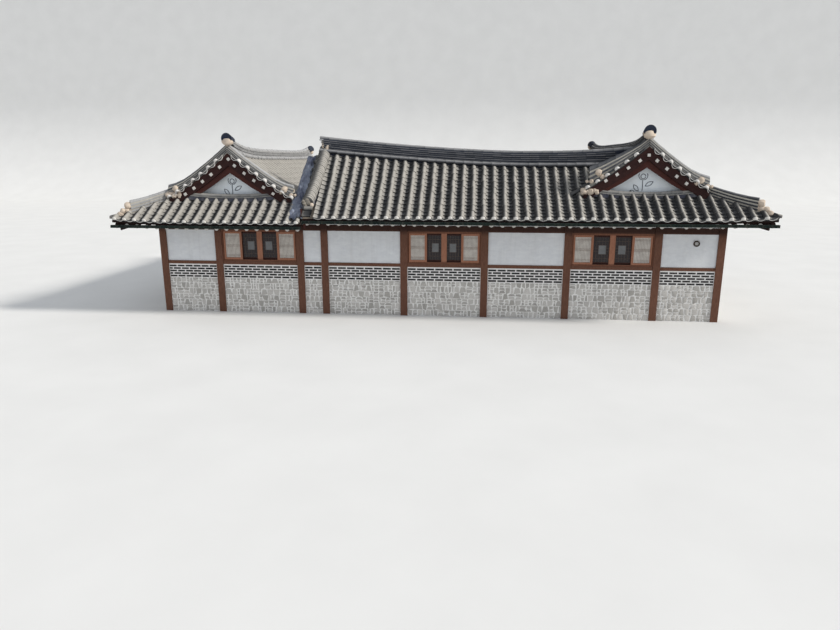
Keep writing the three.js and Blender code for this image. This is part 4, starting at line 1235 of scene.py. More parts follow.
def door_bay(work, name, bay):
    """Folding leaves behind a stretch between posts: stiles and rails, a board below, and above
    it paper in the sunk pane behind uprights crossed by three bands of rails."""
    wall, leaves = WALLS[name], 4
    start, end = bay[0] + POST / 2, bay[1] - POST / 2
    width = (end - start) / leaves
    face = -POST / 2 - 0.0003
    foot, head = SILL_TOP + 0.004, LINTEL - 0.004
    for i in range(leaves):
        u = (start + i * width + 0.05, start + (i + 1) * width - 0.05)
        s = (SILL_TOP + 0.48, LINTEL - 0.06)
        pane(work, wall, u, s, face - 0.012, 1)
        lattice(work, wall, u, s, face - 0.012, 8, DOOR_RAILS, proud=0.013)
        for stile in ((u[0] - 0.046, u[0]), (u[1], u[1] + 0.046)):
            bar(work, wall, stile, (foot, head), (face - 0.002, face + 0.008))
        for rail in ((foot, SILL_TOP + 0.06), (s[0] - 0.06, s[0]), (s[1], head)):
            bar(work, wall, u, rail, (face - 0.002, face + 0.007))
        work.lay(wall, bevelled(0.04), (u[0] + u[1]) / 2, SILL_TOP + 0.085, face - 0.001,
                 size=(u[1] - u[0] - 0.05, 0.31, 0.006))


def motif(work, middle, level, y):
    """A plant drawn in raised lines: a bloom of a ring between two sepals, a bent stem, and three
    leaves, each a closed curve that is widest halfway."""
    def draw(x, z, radius=0.012):
        tube(work, np.stack([middle + x, y + 0 * x, level + z], -1), radius)
    t = np.linspace(0, 1, 13)
    a = 2 * np.pi * np.linspace(0, 0.97, 17)
    draw(0.068 * np.cos(a), 0.066 * np.sin(a))
    for side in (-1, 1):
        b = np.radians(-75 + 105 * t)
        draw(side * 0.125 * np.cos(b), 0.02 + 0.12 * np.sin(b))
    draw(-0.05 * np.maximum(0, t - 0.6) - 0.01 * np.sin(5 * t), -0.08 - 0.33 * t, 0.013)
    for x, z, along, across, turn in ((0.07, -0.27, 0.25, 0.05, 30), (-0.11, -0.41, 0.23, 0.05, 130),
                                      (-0.22, -0.43, 0.13, 0.025, 165)):
        c, s = np.cos(np.radians(turn)), np.sin(np.radians(turn))
        for bend in (-1, 1):
            wide = bend * across * np.sin(np.pi * t)
            draw(x + along * t * c - wide * s, z + along * t * s + wide * c)


# Finishes

GRAIN_ALONG_X = (1.0, 14.0, 14.0)       # how close the lines of the grain lie along X, Y and Z
UPRIGHT_GRAIN = (14.0, 14.0, 1.2)


class Nodes:
    """Short calls that add nodes to a tree and join them up."""

    def __init__(self, tree):
        self.tree = tree

    def add(self, kind, *sources, **settings):
        """A node of this kind. Each source goes to the input of the same number, and a setting
        whose name begins with in_ goes to the input of that name."""
        node = self.tree.nodes.new(kind)
        for key, value in settings.items():
            if not key.startswith("in_"):
                setattr(node, key, value)
        for socket, value in zip(node.inputs, sources):
            self.set(socket, value)
        for key, value in settings.items():
            if key.startswith("in_"):
                self.set(node.inputs[key[3:].replace("_", " ")], value)
        return node

    def set(self, socket, value):
        """Joins an output to this input, or gives it a value: a colour as red, green and blue."""
        if isinstance(value, bpy.types.NodeSocket):
            self.tree.links.new(value, socket)
        else:
            socket.default_value = (*value, 1) if socket.type == "RGBA" else value

    def math(self, operation, *values):
        return self.add("ShaderNodeMath", *values, operation=operation).outputs[0]

    def mix(self, factor, first, second):
        node = self.add("ShaderNodeMix", factor, data_type="RGBA")
        self.set(node.inputs[6], first)
        self.set(node.inputs[7], second)
        return node.outputs[2]

    def stain(self, base, mask, amount, colour):
        """The base with a colour laid over it, by this much of a mask."""
        return self.mix(self.math("MULTIPLY", mask, amount), base, colour)

    def span(self, value, low, high, to_low=0.0, to_high=1.0):
        return self.add("ShaderNodeMapRange", value, low, high, to_low, to_high).outputs[0]

    def noise(self, vector, scale, detail=3.0, rough=0.55, distortion=0.0):
        return self.add("ShaderNodeTexNoise", in_Vector=vector, in_Scale=scale, in_Detail=detail,
                        in_Roughness=rough, in_Distortion=distortion).outputs[0]

    def stretched(self, vector, scale):
        return self.add("ShaderNodeMapping", in_Vector=vector, in_Scale=scale).outputs[0]

    def place(self):
        return self.add("ShaderNodeTexCoord").outputs["Object"]

    def attribute(self, name):
        return self.add("ShaderNodeAttribute", attribute_name=name).outputs["Fac"]

    def normal(self, axis):
        """The part of the normal that points along this axis."""
        normal = self.add("ShaderNodeNewGeometry").outputs["Normal"]
        return self.add("ShaderNodeSeparateXYZ", normal).outputs[axis]

    def group(self, name, **values):
        """The outputs of a shared group, placed with its own values."""
        if name not in bpy.data.node_groups:
            GROUPS[name]()
        node = self.add("ShaderNodeGroup", node_tree=bpy.data.node_groups[name])
        for key, value in values.items():
            self.set(node.inputs[key], value)
        return node.outputs


def node_group(name, inputs, outputs):
    """An empty node group with these inputs, as (name, kind, value), and number outputs."""
    tree = bpy.data.node_groups.new(name, "ShaderNodeTree")
    for label, kind, value in inputs:
        socket = tree.interface.new_socket(label, in_out="INPUT", socket_type="NodeSocket" + kind)
        socket.default_value = value
    for label in outputs:
        tree.interface.new_socket(label, in_out="OUTPUT", socket_type="NodeSocketFloat")
    start = tree.nodes.new("NodeGroupInput")
    end = tree.nodes.new("NodeGroupOutput")
    return Nodes(tree), start.outputs, end.inputs


def weathering_group():
    """Blotches, rain streaks and dust on what faces up, as masks from 0 to 1, and fine grain."""
    n, given, out = node_group("Weathering", [("Scale", "Float", 1.0)],
                               ["Blotches", "Streaks", "Dust", "Grain"])
    place, scale = n.place(), given["Scale"]
    wide = n.noise(place, n.math("MULTIPLY", scale, 1.3), 5.0, 0.6)
    streaks = n.noise(n.stretched(place, (9.0, 9.0, 0.7)), scale, 4.0, 0.65)
    loose = n.noise(place, n.math("MULTIPLY", scale, 7.0), 5.0, 0.65)
    dust = n.math("MULTIPLY", n.span(n.normal("Z"), 0.1, 0.95), n.span(loose, 0.38, 0.7))
    n.set(out["Blotches"], n.span(wide, 0.35, 0.68))
    n.set(out["Streaks"], n.span(streaks, 0.48, 0.75))
    n.set(out["Dust"], dust)
    n.set(out["Grain"], n.noise(place, n.math("MULTIPLY", scale, 160.0), 3.0, 0.7))


def wood_group():
    """Wood grain: fine lines along the longest way of the piece, and how far they run together."""
    n, given, out = node_group(
        "Wood grain", [("Along", "Vector", GRAIN_ALONG_X), ("Scale", "Float", 6.0)],
        ["Grain", "Cracks"])
    along = n.add("ShaderNodeVectorMath", n.place(), given["Along"], operation="MULTIPLY").outputs[0]
    lines = n.noise(along, given["Scale"], 6.0, 0.6, 0.6)
    n.set(out["Grain"], n.span(lines, 0.3, 0.7))
    cracks = n.noise(along, n.math("MULTIPLY", given["Scale"], 3.0), 2.0, 0.5, 1.0)
    n.set(out["Cracks"], n.span(cracks, 0.62, 0.7))


def edge_group():
    """Worn edges: where the rounded normal departs from the true one, broken up by noise."""
    n, given, out = node_group("Edge wear", [("Width", "Float", 0.01)], ["Edges"])
    bevel = n.add("ShaderNodeBevel", in_Radius=given["Width"], samples=4).outputs[0]
    normal = n.add("ShaderNodeNewGeometry").outputs["Normal"]
    same = n.add("ShaderNodeVectorMath", bevel, normal, operation="DOT_PRODUCT").outputs["Value"]
    broken = n.noise(n.place(), 25.0, 4.0, 0.6)
    n.set(out["Edges"], n.math("MULTIPLY", n.span(same, 0.99, 0.85), n.span(broken, 0.35, 0.6)))


GROUPS = {"Weathering": weathering_group, "Wood grain": wood_group, "Edge wear": edge_group}


def finish(name):
    """The material of this name, painted on first use by a function of its nodes that returns
    colour, roughness, height for the bumps, their depth in metres and other (input, value)."""
    if name in bpy.data.materials:
        return bpy.data.materials[name]
    made = bpy.data.materials.new(name)
    made.use_nodes = True
    made.node_tree.nodes.clear()
    n = Nodes(made.node_tree)
    colour, rough, height, depth, *others = PAINTS[name](n)
    shader = n.add("ShaderNodeBsdfPrincipled", in_Base_Color=colour, in_Roughness=rough)
    bump = n.add("ShaderNodeBump", in_Strength=1.0, in_Distance=depth, in_Height=height)
    n.set(shader.inputs["Normal"], bump.outputs[0])
    for key, value in (("Specular IOR Level", 0.1), *others):
        n.set(shader.inputs[key], value)
    end = n.add("ShaderNodeOutputMaterial")
    n.set(end.inputs["Surface"], shader.outputs[0])
    return made


def finishes(*names):
    return [finish(name) for name in names]


def tile_paint(dark, pale, blotch):
    """Fired clay tile, each piece its own tone, with painted light and shade: painted shade in the
    hollows and on faces turned left, away from the sun; painted sunlight on faces turned right, towards
    it; and on the crowns a bleaching that is partly real and partly a painted highlight, most on the
    side that faces the sun."""
    def paint(n):
        weather = n.group("Weathering")
        tone, crown, right = n.attribute("tone"), n.attribute("crown"), n.normal("X")
        base = n.mix(n.span(tone, 0.0, 1.0, 0.0, 0.75), dark, blotch)
        # Crown bleach: partly real bleaching, partly a painted highlight that is strongest on faces
        # turned right, towards the sun.
        bleach_and_sun_highlight = n.math("MULTIPLY", n.span(crown, 0.0, 0.8), n.span(weather["Blotches"], 0, 1, 0.6, 1.0))
        bleach_and_sun_highlight = n.math("MULTIPLY", bleach_and_sun_highlight, n.span(right, -0.25, 0.3, 0.25, 1.0))
        # Painted sunlight: faces turned right, towards the sun, are mixed towards the pale colour.
        base = n.mix(n.span(right, 0.0, 0.25, 0.0, 0.75), base, pale)
        base = n.mix(bleach_and_sun_highlight, base, pale)
        # Painted shade: near black in the hollows, on the round tiles' sides and on the back ends under
        # the next tile, less on faces turned towards the sun; and painted shade on every face turned
        # left, away from it.
        shade_kept = n.span(right, 0.02, 0.3, 1.0, 0.12)
        hollow = n.math("MULTIPLY", n.span(crown, 0.0, -0.9, 0.0, 0.9), shade_kept)
        hollow = n.math("MAXIMUM", hollow, n.span(right, -0.05, -0.5, 0.0, 0.6))
        base = n.mix(hollow, base, (0.008, 0.009, 0.012))
        lichen = n.noise(n.place(), 55.0, 4.0, 0.7)
        base = n.mix(n.span(lichen, 0.62, 0.72, 0, 0.35), base, (0.5, 0.5, 0.47))
        base = n.stain(base, weather["Streaks"], 0.25, (0.05, 0.05, 0.05))
        rough = n.span(weather["Blotches"], 0, 1, 0.62, 0.88)
        height = n.math("ADD", weather["Grain"], n.math("MULTIPLY", lichen, 1.5))
        return base, rough, height, 0.0015
    return paint


def plaster_paint(light, shade, grey):
    """Lime plaster: trowel waves, stains that run down and fine grit."""
    def paint(n):
        weather = n.group("Weathering")
        trowel = n.noise(n.stretched(n.place(), (3.0, 3.0, 6.0)), 1.6, 4.0, 0.55, 0.5)
        base = n.mix(n.span(trowel, 0.3, 0.7), light, shade)
        base = n.stain(base, weather["Streaks"], grey, (0.32, 0.31, 0.29))
        base = n.stain(base, weather["Blotches"], 0.12, (0.55, 0.52, 0.47))
        height = n.math("ADD", n.math("MULTIPLY", trowel, 4.0), weather["Grain"])
        return base, 0.85, height, 0.0015
    return paint


def wood_paint(main, dark, along, worn, wear=0.6, rough=0.5, painted_eave_shade=0.0):
    """Painted or oiled wood: grain along its length, cracks, paint worn from the edges and, where asked,
    painted shade of the eaves: darker above 2.45 m."""
    def paint(n):
        weather = n.group("Weathering")
        wood = n.group("Wood grain", Along=along)
        edges = n.group("Edge wear", Width=0.012)["Edges"]
        base = n.mix(wood["Grain"], main, dark)
        base = n.stain(base, weather["Blotches"], 0.3, dark)
        base = n.stain(base, wood["Cracks"], 0.6, (0.04, 0.025, 0.02))
        base = n.stain(base, edges, wear, worn)
        base = n.stain(base, weather["Dust"], 0.25, (0.5, 0.46, 0.4))
        # Painted shade under the eaves: darker from 2.45 m to 2.62 m up, by the given share.
        level = n.add("ShaderNodeSeparateXYZ", n.place()).outputs["Z"]
        base = n.mix(n.span(level, 2.45, 2.62, 0.0, painted_eave_shade), base, (0.02, 0.01, 0.009))
        roughness = n.span(wood["Grain"], 0, 1, rough, rough + 0.2)
        height = n.math("SUBTRACT", wood["Grain"], wood["Cracks"])
        return base, roughness, height, 0.001
    return paint


def stone_paint(n):
    """Cut granite: each stone its own shade, with dark and pale specks."""
    weather = n.group("Weathering")
    tone = n.attribute("tone")
    base = n.mix(tone, (0.4, 0.385, 0.36), (0.66, 0.64, 0.61))
    specks = n.noise(n.place(), 210.0, 2.0, 0.6)
    base = n.mix(n.span(specks, 0.56, 0.66, 0, 0.6), base, (0.16, 0.155, 0.15))
    base = n.mix(n.span(specks, 0.42, 0.34, 0, 0.4), base, (0.8, 0.78, 0.74))
    base = n.stain(base, weather["Streaks"], 0.2, (0.3, 0.28, 0.26))
    rugged = n.noise(n.place(), 28.0, 6.0, 0.65)
    return base, 0.82, n.math("ADD", rugged, n.math("MULTIPLY", specks, 0.2)), 0.008


def brick_paint(n):
    """Grey fired brick: tone for each brick, small pits and soot."""
    weather = n.group("Weathering")
    tone = n.attribute("tone")
    base = n.mix(tone, (0.01, 0.01, 0.012), (0.035, 0.03, 0.03))
    pits = n.noise(n.place(), 90.0, 5.0, 0.7)
    base = n.mix(n.span(pits, 0.6, 0.75, 0, 0.4), base, (0.16, 0.15, 0.15))
    base = n.stain(base, weather["Blotches"], 0.2, (0.12, 0.11, 0.105))
    return base, 0.85, pits, 0.003


def mortar_paint(n):
    """Pale mortar: sandy grain, a little stained."""
    weather = n.group("Weathering")
    sand = n.noise(n.place(), 120.0, 4.0, 0.75)
    base = n.mix(n.span(sand, 0.35, 0.65), (0.92, 0.91, 0.89), (0.8, 0.79, 0.77))
    base = n.stain(base, weather["Streaks"], 0.15, (0.5, 0.48, 0.45))
    return base, 0.9, sand, 0.003


def paper_paint(light, shade):
    """Mulberry paper: long fibres and soft clouds."""
    def paint(n):
        fibres = n.noise(n.stretched(n.place(), (60.0, 60.0, 22.0)), 3.0, 5.0, 0.6, 1.2)
        clouds = n.noise(n.place(), 6.0, 3.0, 0.5)
        base = n.mix(n.span(clouds, 0.35, 0.65), light, shade)
        base = n.mix(n.span(fibres, 0.6, 0.72, 0, 0.3), base, (0.92, 0.91, 0.88))
        return base, 0.8, fibres, 0.0003
    return paint


def glass_paint(n):
    """Dark panes: a smooth sheet with faint waves and dust, its dark colour the painted shade of the
    unlit room behind the glass.
    """
    waves = n.noise(n.place(), 3.0, 2.0, 0.5)
    dust = n.noise(n.place(), 40.0, 5.0, 0.7)
    base = n.mix(n.span(dust, 0.5, 0.75, 0, 0.3), (0.03, 0.024, 0.026), (0.1, 0.09, 0.09))
    return base, n.span(dust, 0.4, 0.8, 0.12, 0.35), waves, 0.002, ("Specular IOR Level", 0.25)


def metal_paint(colour, stain, rough, metallic=0.0):
    """Sheet metal: brushed or painted, with stains that run down and dents."""
    def paint(n):
        weather = n.group("Weathering", Scale=1.5)
        edges = n.group("Edge wear", Width=0.006)["Edges"]
        base = n.mix(weather["Blotches"], colour, stain)
        base = n.stain(base, edges, 0.4, (0.45, 0.46, 0.45))
        base = n.stain(base, weather["Streaks"], 0.3, (0.12, 0.1, 0.08))
        dents = n.noise(n.place(), 7.0, 3.0, 0.5)
        roughness = n.span(weather["Blotches"], 0, 1, rough, rough + 0.2)
        return base, roughness, dents, 0.004, ("Metallic", metallic)
    return paint


def clay_paint(n):
    """Bedding clay: brown earth with straw and grit."""
    weather = n.group("Weathering")
    grit = n.noise(n.place(), 60.0, 6.0, 0.75)
    base = n.mix(n.span(grit, 0.35, 0.65), (0.2, 0.16, 0.12), (0.1, 0.085, 0.07))
    base = n.stain(base, weather["Blotches"], 0.4, (0.26, 0.23, 0.19))
    return base, 0.95, grit, 0.006


def floor_paint(n):
    """Oiled floor boards 0.18 m wide: a brick pattern gives each board its shade and its joints."""
    boards = n.add("ShaderNodeTexBrick", in_Vector=n.place(), in_Scale=1.0, in_Mortar_Size=0.004,
                   in_Brick_Width=1.6, in_Row_Height=0.18, in_Color1=(0.36, 0.22, 0.12),
                   in_Color2=(0.5, 0.33, 0.19), in_Mortar=(0.04, 0.03, 0.02))
    wood = n.group("Wood grain", Along=GRAIN_ALONG_X)
    base = n.stain(boards.outputs[0], wood["Grain"], 0.4, (0.2, 0.12, 0.07))
    height = n.math("SUBTRACT", wood["Grain"], n.math("MULTIPLY", boards.outputs[1], 3.0))
    return base, n.span(wood["Grain"], 0, 1, 0.3, 0.5), height, 0.001


def stage_paint(n):
    """The pale floor: faint wide clouds."""
    clouds = n.noise(n.place(), 0.6, 3.0, 0.5)
    base = n.mix(n.span(clouds, 0.3, 0.7), (0.74, 0.74, 0.73), (0.77, 0.77, 0.76))
    return base, 0.9, clouds, 0.001


PAINTS = {
    # Tile colours: dark, pale and blotch. The pale one is both bleaching and painted sunlight on faces
    # turned towards the sun, and tile_paint adds painted shade in the hollows.
    "Roof tile": tile_paint((0.045, 0.047, 0.05), (0.415, 0.395, 0.36), (0.11, 0.11, 0.115)),
    "Ridge tile": tile_paint((0.075, 0.08, 0.09), (0.42, 0.42, 0.42), (0.17, 0.17, 0.18)),
    "Cap tile": tile_paint((0.02, 0.026, 0.045), (0.035, 0.042, 0.06), (0.03, 0.035, 0.05)),
    "Ridge mortar": plaster_paint((0.36, 0.35, 0.33), (0.2, 0.2, 0.2), 0.4),
    "Bank plaster": plaster_paint((0.1, 0.105, 0.14), (0.05, 0.055, 0.08), 0.4),
    "Old mortar": plaster_paint((0.3, 0.27, 0.22), (0.16, 0.14, 0.12), 0.4),
    "Cream plaster": plaster_paint((0.66, 0.56, 0.45), (0.5, 0.41, 0.34), 0.3),
    "Lime plug": plaster_paint((0.74, 0.72, 0.68), (0.6, 0.58, 0.55), 0.3),
    "Verge plug": plaster_paint((0.78, 0.76, 0.73), (0.62, 0.6, 0.58), 0.25),
    "Wall plaster": plaster_paint((0.78, 0.8, 0.82), (0.7, 0.72, 0.75), 0.12),
    # Painted light: a paler, bluer copy of the wall plaster, so that the shaded gable panels look
    # brighter.
    "Gable plaster in painted light": plaster_paint((0.9, 0.95, 0.98), (0.84, 0.9, 0.95), 0.05),
    "Foot tile": tile_paint((0.2, 0.2, 0.2), (0.5, 0.48, 0.44), (0.3, 0.29, 0.27)),
    "Ridge lime": plaster_paint((0.5, 0.48, 0.42), (0.36, 0.34, 0.3), 0.4),
    "Relief": plaster_paint((0.2, 0.22, 0.25), (0.14, 0.16, 0.19), 0.2),
    "Eave plaster": plaster_paint((0.66, 0.62, 0.55), (0.52, 0.48, 0.42), 0.2),
    "Bedding clay": clay_paint,
    # Timber and beams carry painted shade of the eaves above 2.45 m.
    "Timber": wood_paint((0.21, 0.1, 0.065), (0.1, 0.047, 0.032), UPRIGHT_GRAIN,
                         (0.3, 0.18, 0.13), painted_eave_shade=0.8),
    "Beam": wood_paint((0.06, 0.02, 0.015), (0.028, 0.011, 0.009), (1.2, 1.2, 14.0),
                       (0.1, 0.05, 0.04), painted_eave_shade=0.8),
    # Painted shade: a darker copy of the gable wood, for the upper band of the verge boards, the whole
    # boards of the outer verges and the undersides of the overhangs behind the rakes.
    "Gable wood in painted shade": wood_paint((0.055, 0.022, 0.019), (0.024, 0.012, 0.012), (1.5, 1.5, 10.0),
                             (0.09, 0.05, 0.045), 0.5),
    "Lattice wood": wood_paint((0.25, 0.11, 0.068), (0.15, 0.065, 0.04), UPRIGHT_GRAIN,
                               (0.36, 0.2, 0.13), 0.5, 0.4),
    "Dark lattice": wood_paint((0.1, 0.075, 0.065), (0.06, 0.045, 0.04), UPRIGHT_GRAIN,
                               (0.2, 0.15, 0.12), 0.4, 0.4),
    "Fine lattice": wood_paint((0.28, 0.2, 0.16), (0.2, 0.14, 0.11), UPRIGHT_GRAIN,
                               (0.3, 0.22, 0.16), 0.4, 0.4),
    "Gable wood": wood_paint((0.105, 0.036, 0.028), (0.05, 0.02, 0.018), GRAIN_ALONG_X,
                             (0.2, 0.1, 0.08), 0.4, 0.5),
    "Window post": wood_paint((0.42, 0.2, 0.125), (0.3, 0.13, 0.08), UPRIGHT_GRAIN,
                              (0.5, 0.3, 0.2), 0.4, 0.4),
    "White paint": wood_paint((0.76, 0.74, 0.7), (0.62, 0.6, 0.56), (14.0, 14.0, 2.0),
                              (0.4, 0.3, 0.22), 0.3),
    "Stone": stone_paint,
    "Brick": brick_paint,
    "Mortar": mortar_paint,
    "Paper": paper_paint((0.86, 0.85, 0.8), (0.76, 0.75, 0.7)),
    "Window paper": paper_paint((0.68, 0.65, 0.6), (0.55, 0.52, 0.48)),
    "Window field": paper_paint((0.2, 0.205, 0.21), (0.16, 0.165, 0.17)),
    "Dark pane": glass_paint,
    "Floor boards": floor_paint,
    "Gutter paint": metal_paint((0.005, 0.011, 0.01), (0.014, 0.024, 0.02), 0.5),
    "Zinc sheet": metal_paint((0.27, 0.3, 0.37), (0.08, 0.09, 0.14), 0.4, 0.4),
    "Vent metal": metal_paint((0.07, 0.045, 0.035), (0.04, 0.028, 0.022), 0.45, 0.3),
    "Vent slats": metal_paint((0.62, 0.62, 0.6), (0.5, 0.5, 0.48), 0.45, 0.3),
    "Studio floor": stage_paint,
}


SLOT_FINISH = {
    "roof_tile": "Roof tile", "ridge_tile": "Ridge tile", "plaster": "Wall plaster",
    "bargeboard": "Gable wood", "flashing_metal": "Zinc sheet", "gutter_metal": "Gutter paint",
    "timber": "Timber", "masonry": "Mortar", "brick": "Mortar", "lattice_wood": "Lattice wood",
    "vent_metal": "Vent metal", "floor_wood": "Floor boards",
}


# Settings

class RoofSettings(bpy.types.PropertyGroup):
    slabs_main: bpy.props.IntProperty(
        name="Slabs in the main ridge", description="Layers of flat tiles in the main ridge",
        default=5, min=1, max=12)
    slabs_wing: bpy.props.IntProperty(
        name="Slabs in the wing ridges", description="Layers of flat tiles in each wing's ridge",
        default=4, min=1, max=12)
    slabs_rake: bpy.props.IntProperty(
        name="Slabs in the rakes", description="Layers of flat tiles in each rake and hip",
        default=3, min=1, max=6)


class LightSettings(bpy.types.PropertyGroup):
    sun: bpy.props.FloatProperty(
        name="Sun", description="Strength of the sun lamp", default=3.2, min=0)
    sun_softness: bpy.props.FloatProperty(
        name="Sun softness", description="Angular size of the sun lamp",
        default=0.15, min=0, unit="ROTATION")
    sky: bpy.props.FloatProperty(
        name="Sky", description="Strength of the pale surroundings", default=0.66, min=0)


# Operators

class HOUSE_OT_camera(bpy.types.Operator):
    """Sets the camera to the photograph's place, direction and focal length"""
    bl_idname = "house.camera"
    bl_label = "Set the camera"

    def execute(self, context):
        photo_width, focal_length = 840, 631            # in pixels
        down, turned = 13.8, 5.35                       # in degrees
        data = bpy.data.cameras.new("Camera")
        data.sensor_width = 36.0
        data.lens = focal_length / photo_width * data.sensor_width
        data.clip_end = 500
        camera = bpy.data.objects.new("Camera", data)
        camera.location = (1.41, -23.225, 4.63)
        camera.rotation_euler = np.radians((90 - down, 0, turned))
        context.scene.collection.objects.link(camera)
        context.scene.camera = camera
        return {"FINISHED"}


class HOUSE_OT_roof_tiles(bpy.types.Operator):
    """Lays the round and trough tiles and their bed on the three roofs"""
    bl_idname = "house.roof_tiles"
    bl_label = "Lay the roof tiles"

    def execute(self, context):
        looks = finishes("Roof tile", "Bedding clay", "Eave plaster", "Beam", "Gable wood in painted shade")
        for name, regions, node in (("Main", main_regions(), "main_roof"),
                                    ("Right wing", wing_regions(1), "right_wing_roof"),
                                    ("Left wing", wing_regions(-1), "left_wing_roof")):
            work = Work()
            for number, region in enumerate(regions):
                lay_tiles(work, region, name + str(number))
                lay_deck(work, region)
            work.make(name + " roof tiles", looks, "roof_tile", replaces=[node])
        return {"FINISHED"}


class HOUSE_OT_eaves(bpy.types.Operator):
    """Adds the lime in the tile ends and the rafters under the eaves"""
    bl_idname = "house.eaves"
    bl_label = "Finish the eaves"

    def execute(self, context):
        plaster, rafters = Work(), Work()
        for region in main_regions() + wing_regions(1) + wing_regions(-1):
            lay_eave(plaster, region)
            lay_rafters(rafters, region)
        for side, _ in SIDES:
            for rear, hips in HIPS:
                for outward in hips:
                    path = hip_path(side, outward, rear)
                    drop = layer(np.linspace(0.05, 0.55, len(path.points)), 1.0) + 0.1
                    lowered = Path(path.points - UP * drop[:, None])
                    beam = block_shape(0.16, lowered.total + 0.12, -0.06, 0.16)
                    rafters.lay(lowered, beam, 0, -0.12)
        plaster.make("Lime in the tile ends", finishes("Lime plug"), "plaster", sharp=60)
        rafters.make("Rafters", finishes("Beam", "White paint"), "timber")
        return {"FINISHED"}


class HOUSE_OT_ridges(bpy.types.Operator):
    """Builds the ridges, rakes and hips of flat tiles with their caps and plaster ends"""
    bl_idname = "house.ridges"
    bl_label = "Build the ridges"

    def execute(self, context):
        count = context.scene.house_roof
        looks = finishes("Ridge tile", "Ridge mortar", "Cream plaster", "Cap tile", "Ridge lime")
        work = Work()
        path = main_ridge_path()
        lay_ridge(work, path, 0.24, MAIN_RIDGE_HEIGHT, count.slabs_main, "main", cap=0.08,
                  trim=(0.08, 0), core_slot=3, slant=0.2)
        for k, (ahead, up, radii) in enumerate(MAIN_LUMPS):
            lump(work, path.points[0] + (-ahead, 0, up), radii, f"main end{k}", slot=2, rough=0.2)
        work.make("Main ridge tiles", looks, "ridge_tile", replaces=["main_ridge"])
        for side, node in SIDES:
            work = Work()
            path = wing_ridge_path(side)
            lay_ridge(work, path, 0.25, WING_RIDGE_HEIGHT, count.slabs_wing, node, trim=(0.3, 0.3))
            shift, size = WING_END[side]
            for k, facing in ((0, -1), (-1, 1)):
                top = path.points[k] + (shift, -facing * 0.06, WING_RIDGE_HEIGHT + 0.19)
                ridge_end(work, top, facing, f"{node}end{k}", size)
            work.make(node + " wing ridge tiles", looks, "ridge_tile",
                      replaces=[node + "_wing_ridge"])
            for rear, hips in HIPS:
                work = Work()
                for outward in (True, False):
                    name = f"{node}{rear}{outward}"
                    lay_rake(work, side, outward, rear, count.slabs_rake, name)
                for outward in hips:
                    name = f"{node}{rear}{outward}hip"
                    lay_hip(work, side, outward, rear, count.slabs_rake, name)
                end = "rear" if rear else "front"
                work.make(f"{node} {end} rakes and hips", looks, "ridge_tile",
                          replaces=[f"{node}_{end}_ridges"])
        return {"FINISHED"}


class HOUSE_OT_main_verge(bpy.types.Operator):
    """Builds the bank of mortar and round tiles along the main block's verge"""
    bl_idname = "house.main_verge"
    bl_label = "Build the main verge"

    def execute(self, context):
        work = Work()
        length, rib_length = 1.75, 0.075
        rib = round_tile(0.19, 0.18, rib_length, segments=14, reach=108, base=0.1)
        for facing in (-1, 1):
            away = line(length, 0.0, 20)
            x = MAIN_VERGE_X + 0.22 - 0.155 * (away / length) ** 1.6
            y = MAIN_Y + facing * away
            path = Path(np.stack([x, y, main_bed(x, y)], -1))
            u, h = arch(0.2, -0.1, 0.21)
            wave = random("bank", (len(path.points), len(u)), 0.92, 1.05)
            sweep(work, path, u * wave, h, slot=1)
            lay_course(work, path, rib, rib_length, 0, 0, f"rib{facing}0.19", gap=-OVERLAP)
            foot = path.points[0]
            lump(work, foot + (0, -facing * 0.03, 0.14), (0.125, 0.06, 0.12),
                 f"verge mouth{facing}", slot=3, rough=0.25)
            lump(work, foot + (0.13, facing * 0.03, 0.05), (0.065, 0.06, 0.07),
                 f"verge foot{facing}", slot=2, rough=0.2)
            for k in range(3):
                lump(work, foot + (-0.12 + 0.03 * k, facing * 0.02, 0.16 - 0.07 * k), 0.05,
                     f"verge crumb{facing}{k}", slot=3, rough=0.3)
        looks = finishes("Roof tile", "Bank plaster", "Cream plaster", "Old mortar")
        work.make("Main verge bank", looks, "ridge_tile", replaces=["main_verge_ridge"])
        return {"FINISHED"}


class HOUSE_OT_gables(bpy.types.Operator):
    """Adds the verge tiles, boards, painted ends, foot rows and relief of the gables"""
    bl_idname = "house.gables"
    bl_label = "Finish the gables"

    def execute(self, context):
        tiles, plaster, boards, relief, foot = (Work() for _ in range(5))
        for side, _ in SIDES:
            half = GABLE_HALF[side]
            for rear in (False, True):
                edge = REAR - VERGE + EDGE_GAP if rear else FRONT + VERGE - EDGE_GAP
                for inner in (False, True):
                    by_main = inner and side > 0
                    squares = np.arange(FIRST_SQUARE[side, inner], half - LAST_SQUARE, SQUARE_PITCH)
                    lay_verge(tiles, plaster, boards, wing_slope(side, inner), WING_HALF - half,
                              WING_HALF, edge, -facing_of(rear), squares,
                              rise=SQUARE_RISE if by_main else 0.0, lips=not by_main,
                              board=2 if inner else 0)
                lay_foot(foot, side, rear)
                y, facing = gable_face(rear), facing_of(rear)
                level = float(wing_bed(side * RIDGE_X, y)) - MOTIF_BELOW
                motif(relief, side * RIDGE_X - 0.03, level, y + facing * 0.002)
                if side > 0:
                    crown = float(wing_bed(RIDGE_X, edge))
                    bar(boards, Wall(0, edge, facing), (RIDGE_X - 0.04, RIDGE_X + 0.04),
                        (crown - 0.28, crown - 0.2), (-0.05, 0.015), slot=1)
        for rear in (False, True):
            lay_verge(tiles, tiles, boards, main_slope(rear), 0.02, MAIN_HALF, MAIN_VERGE_X, 1)
        tiles.make("Verge tiles", finishes("Roof tile"), "roof_tile")
        plaster.make("Lime in the verge tiles", finishes("Verge plug"), "plaster", sharp=60)
        looks = finishes("Gable wood in painted shade", "White paint", "Gable wood")
        boards.make("Verge boards", looks, "bargeboard")
        relief.make("Gable relief", finishes("Relief"), "plaster", sharp=60)
        looks = finishes("Ridge tile", "Cream plaster", "Bank plaster", "Foot tile")
        foot.make("Gable foot rows", looks, "ridge_tile")
        return {"FINISHED"}


